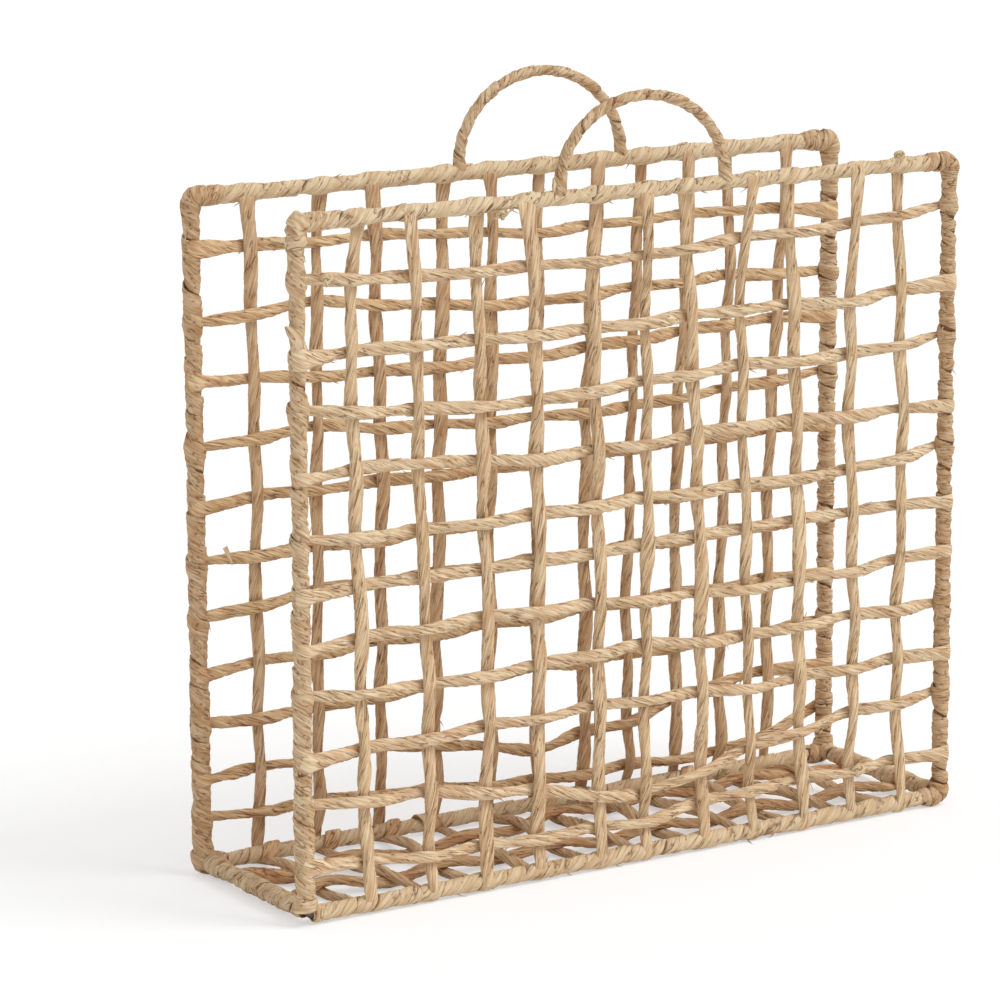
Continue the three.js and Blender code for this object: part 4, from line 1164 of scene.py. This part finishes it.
wisps = {"front": [], "back": []}
random = np.random.default_rng(wispLook["seed"])
for kind, count in wispLook["counts"].items():
    kindRoutes = [route for name, route in routes.items()
                  if kind + "_" in name and name.endswith(("_cord", "_winding"))]
    for order in range(count):
        rows, flatWay = wispRows(kindRoutes[random.integers(len(kindRoutes))], random)
        wisps["front" if rows[0][1] < 0 else "back"].append((rows, flatWay))
for side, blades in wisps.items():
    middles, ways, sizes, starts = [], [], [], []
    for rows, flatWay in blades:
        stations, route = smoothRoute(rows, wispLook["spacing"])
        starts.append(len(middles))
        middles.extend(route[:, :3])
        ways.extend([flatWay] * len(route))
        sizes.extend(route[:, 3:])
    halfWidths, halfThicknesses = np.array(sizes).T
    path = pathMesh(f"{side}_wisps", middles, {
        "flatWay": ways, "halfWidth": halfWidths, "halfThickness": halfThicknesses,
        "browning": halfWidths * 0}, starts)
    makePiece(f"{side}_wisps", path, strandTree, wispFolds, [])
print("scene: windings made")

for name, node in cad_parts.items():
    if name.endswith("_wire"):
        node.data.materials.clear()
        node.data.materials.append(mildSteel)


# Camera at the photograph's viewing angle, on the frame's axes
cameraLook = {
    "place": Vector((-1.2636, -1.9067, 0.6751)), "yaw": 32.48, "pitch": 12.107, "roll": -0.253,
    "lens": 160.5, "sensor": 36,
}
yaw, pitch, roll = (math.radians(cameraLook[name]) for name in ("yaw", "pitch", "roll"))
cameraData = bpy.data.cameras.new("camera")
cameraData.lens = cameraLook["lens"]
cameraData.sensor_width = cameraLook["sensor"]
cameraData.sensor_fit = "HORIZONTAL"
camera = bpy.data.objects.new("camera", cameraData)
camera.matrix_world = (
    Matrix.Translation(cameraLook["place"]) @ Matrix.Rotation(-yaw, 4, "Z")
    @ Matrix.Rotation(math.pi / 2 - pitch, 4, "X") @ Matrix.Rotation(roll, 4, "Z"))
bpy.context.scene.collection.objects.link(camera)
bpy.context.scene.camera = camera


# Soft studio light on a white floor. shadowShare: how far the camera's view of the floor is lifted
# to paperLight, so that the object's shadow stays soft on it
studioLook = {"world": 0.66, "sun": 1.5, "sunAngle": 26, "sunFrom": Vector((0.8, -0.8, 1.4)),
              "floorHalf": 6, "floorWhite": 0.97, "shadowShare": 0.45, "paperLight": 1.08}


def makeStudio():
    scene = bpy.context.scene
    scene.view_settings.view_transform = "Standard"
    world = bpy.data.worlds.new("studio")
    scene.world = world
    world.use_nodes = True
    nodes, add, white = world.node_tree.nodes, partial(addNode, world.node_tree), (1, 1, 1, 1)
    feedNode(nodes["Background"], {"Color": white, "Strength": studioLook["world"]})
    backdrop = add("ShaderNodeBackground", {"Color": white, "Strength": 1.0})
    # The camera and clear or shining things see a white room, whatever lights the object
    rays = add("ShaderNodeLightPath").node.outputs
    seen = rays["Is Camera Ray"]
    for ray in ("Is Glossy Ray", "Is Transmission Ray"):
        seen = add("ShaderNodeMath", [seen, rays[ray]], operation="MAXIMUM")
    mix = add("ShaderNodeMixShader", [seen, nodes["Background"].outputs[0], backdrop])
    feedNode(nodes["World Output"], {"Surface": mix})
    sunData = bpy.data.lights.new("softbox", "SUN")
    sunData.energy = studioLook["sun"]
    sunData.angle = math.radians(studioLook["sunAngle"])
    sun = bpy.data.objects.new("softbox", sunData)
    sun.rotation_mode = "QUATERNION"
    sun.rotation_quaternion = studioLook["sunFrom"].to_track_quat("Z", "Y")
    scene.collection.objects.link(sun)
    # Plain white paper: the eye sees no grain on it, only the shadow
    paper, shader, add = newMaterial("whitePaperFloor")
    feedNode(shader, {"Base Color": (*[studioLook["floorWhite"]] * 3, 1), "Roughness": 1,
                      "Specular IOR Level": 0})
    glow = add("ShaderNodeEmission", {"Color": white, "Strength": studioLook["paperLight"]})
    rays = add("ShaderNodeLightPath").node.outputs
    lifted = add("ShaderNodeMath", [rays["Is Camera Ray"], studioLook["shadowShare"]],
                 operation="MULTIPLY")
    mix = add("ShaderNodeMixShader", [lifted, shader.outputs[0], glow])
    feedNode(paper.node_tree.nodes["Material Output"], {"Surface": mix})
    half = studioLook["floorHalf"]
    floorMesh = bpy.data.meshes.new("floor")
    floorMesh.from_pydata([(-half, -half, 0), (half, -half, 0), (half, half, 0), (-half, half, 0)],
                          [], [(0, 1, 2, 3)])
    floorMesh.materials.append(paper)
    floor = bpy.data.objects.new("floor", floorMesh)
    scene.collection.objects.link(floor)


makeStudio()
print("scene: studio made")
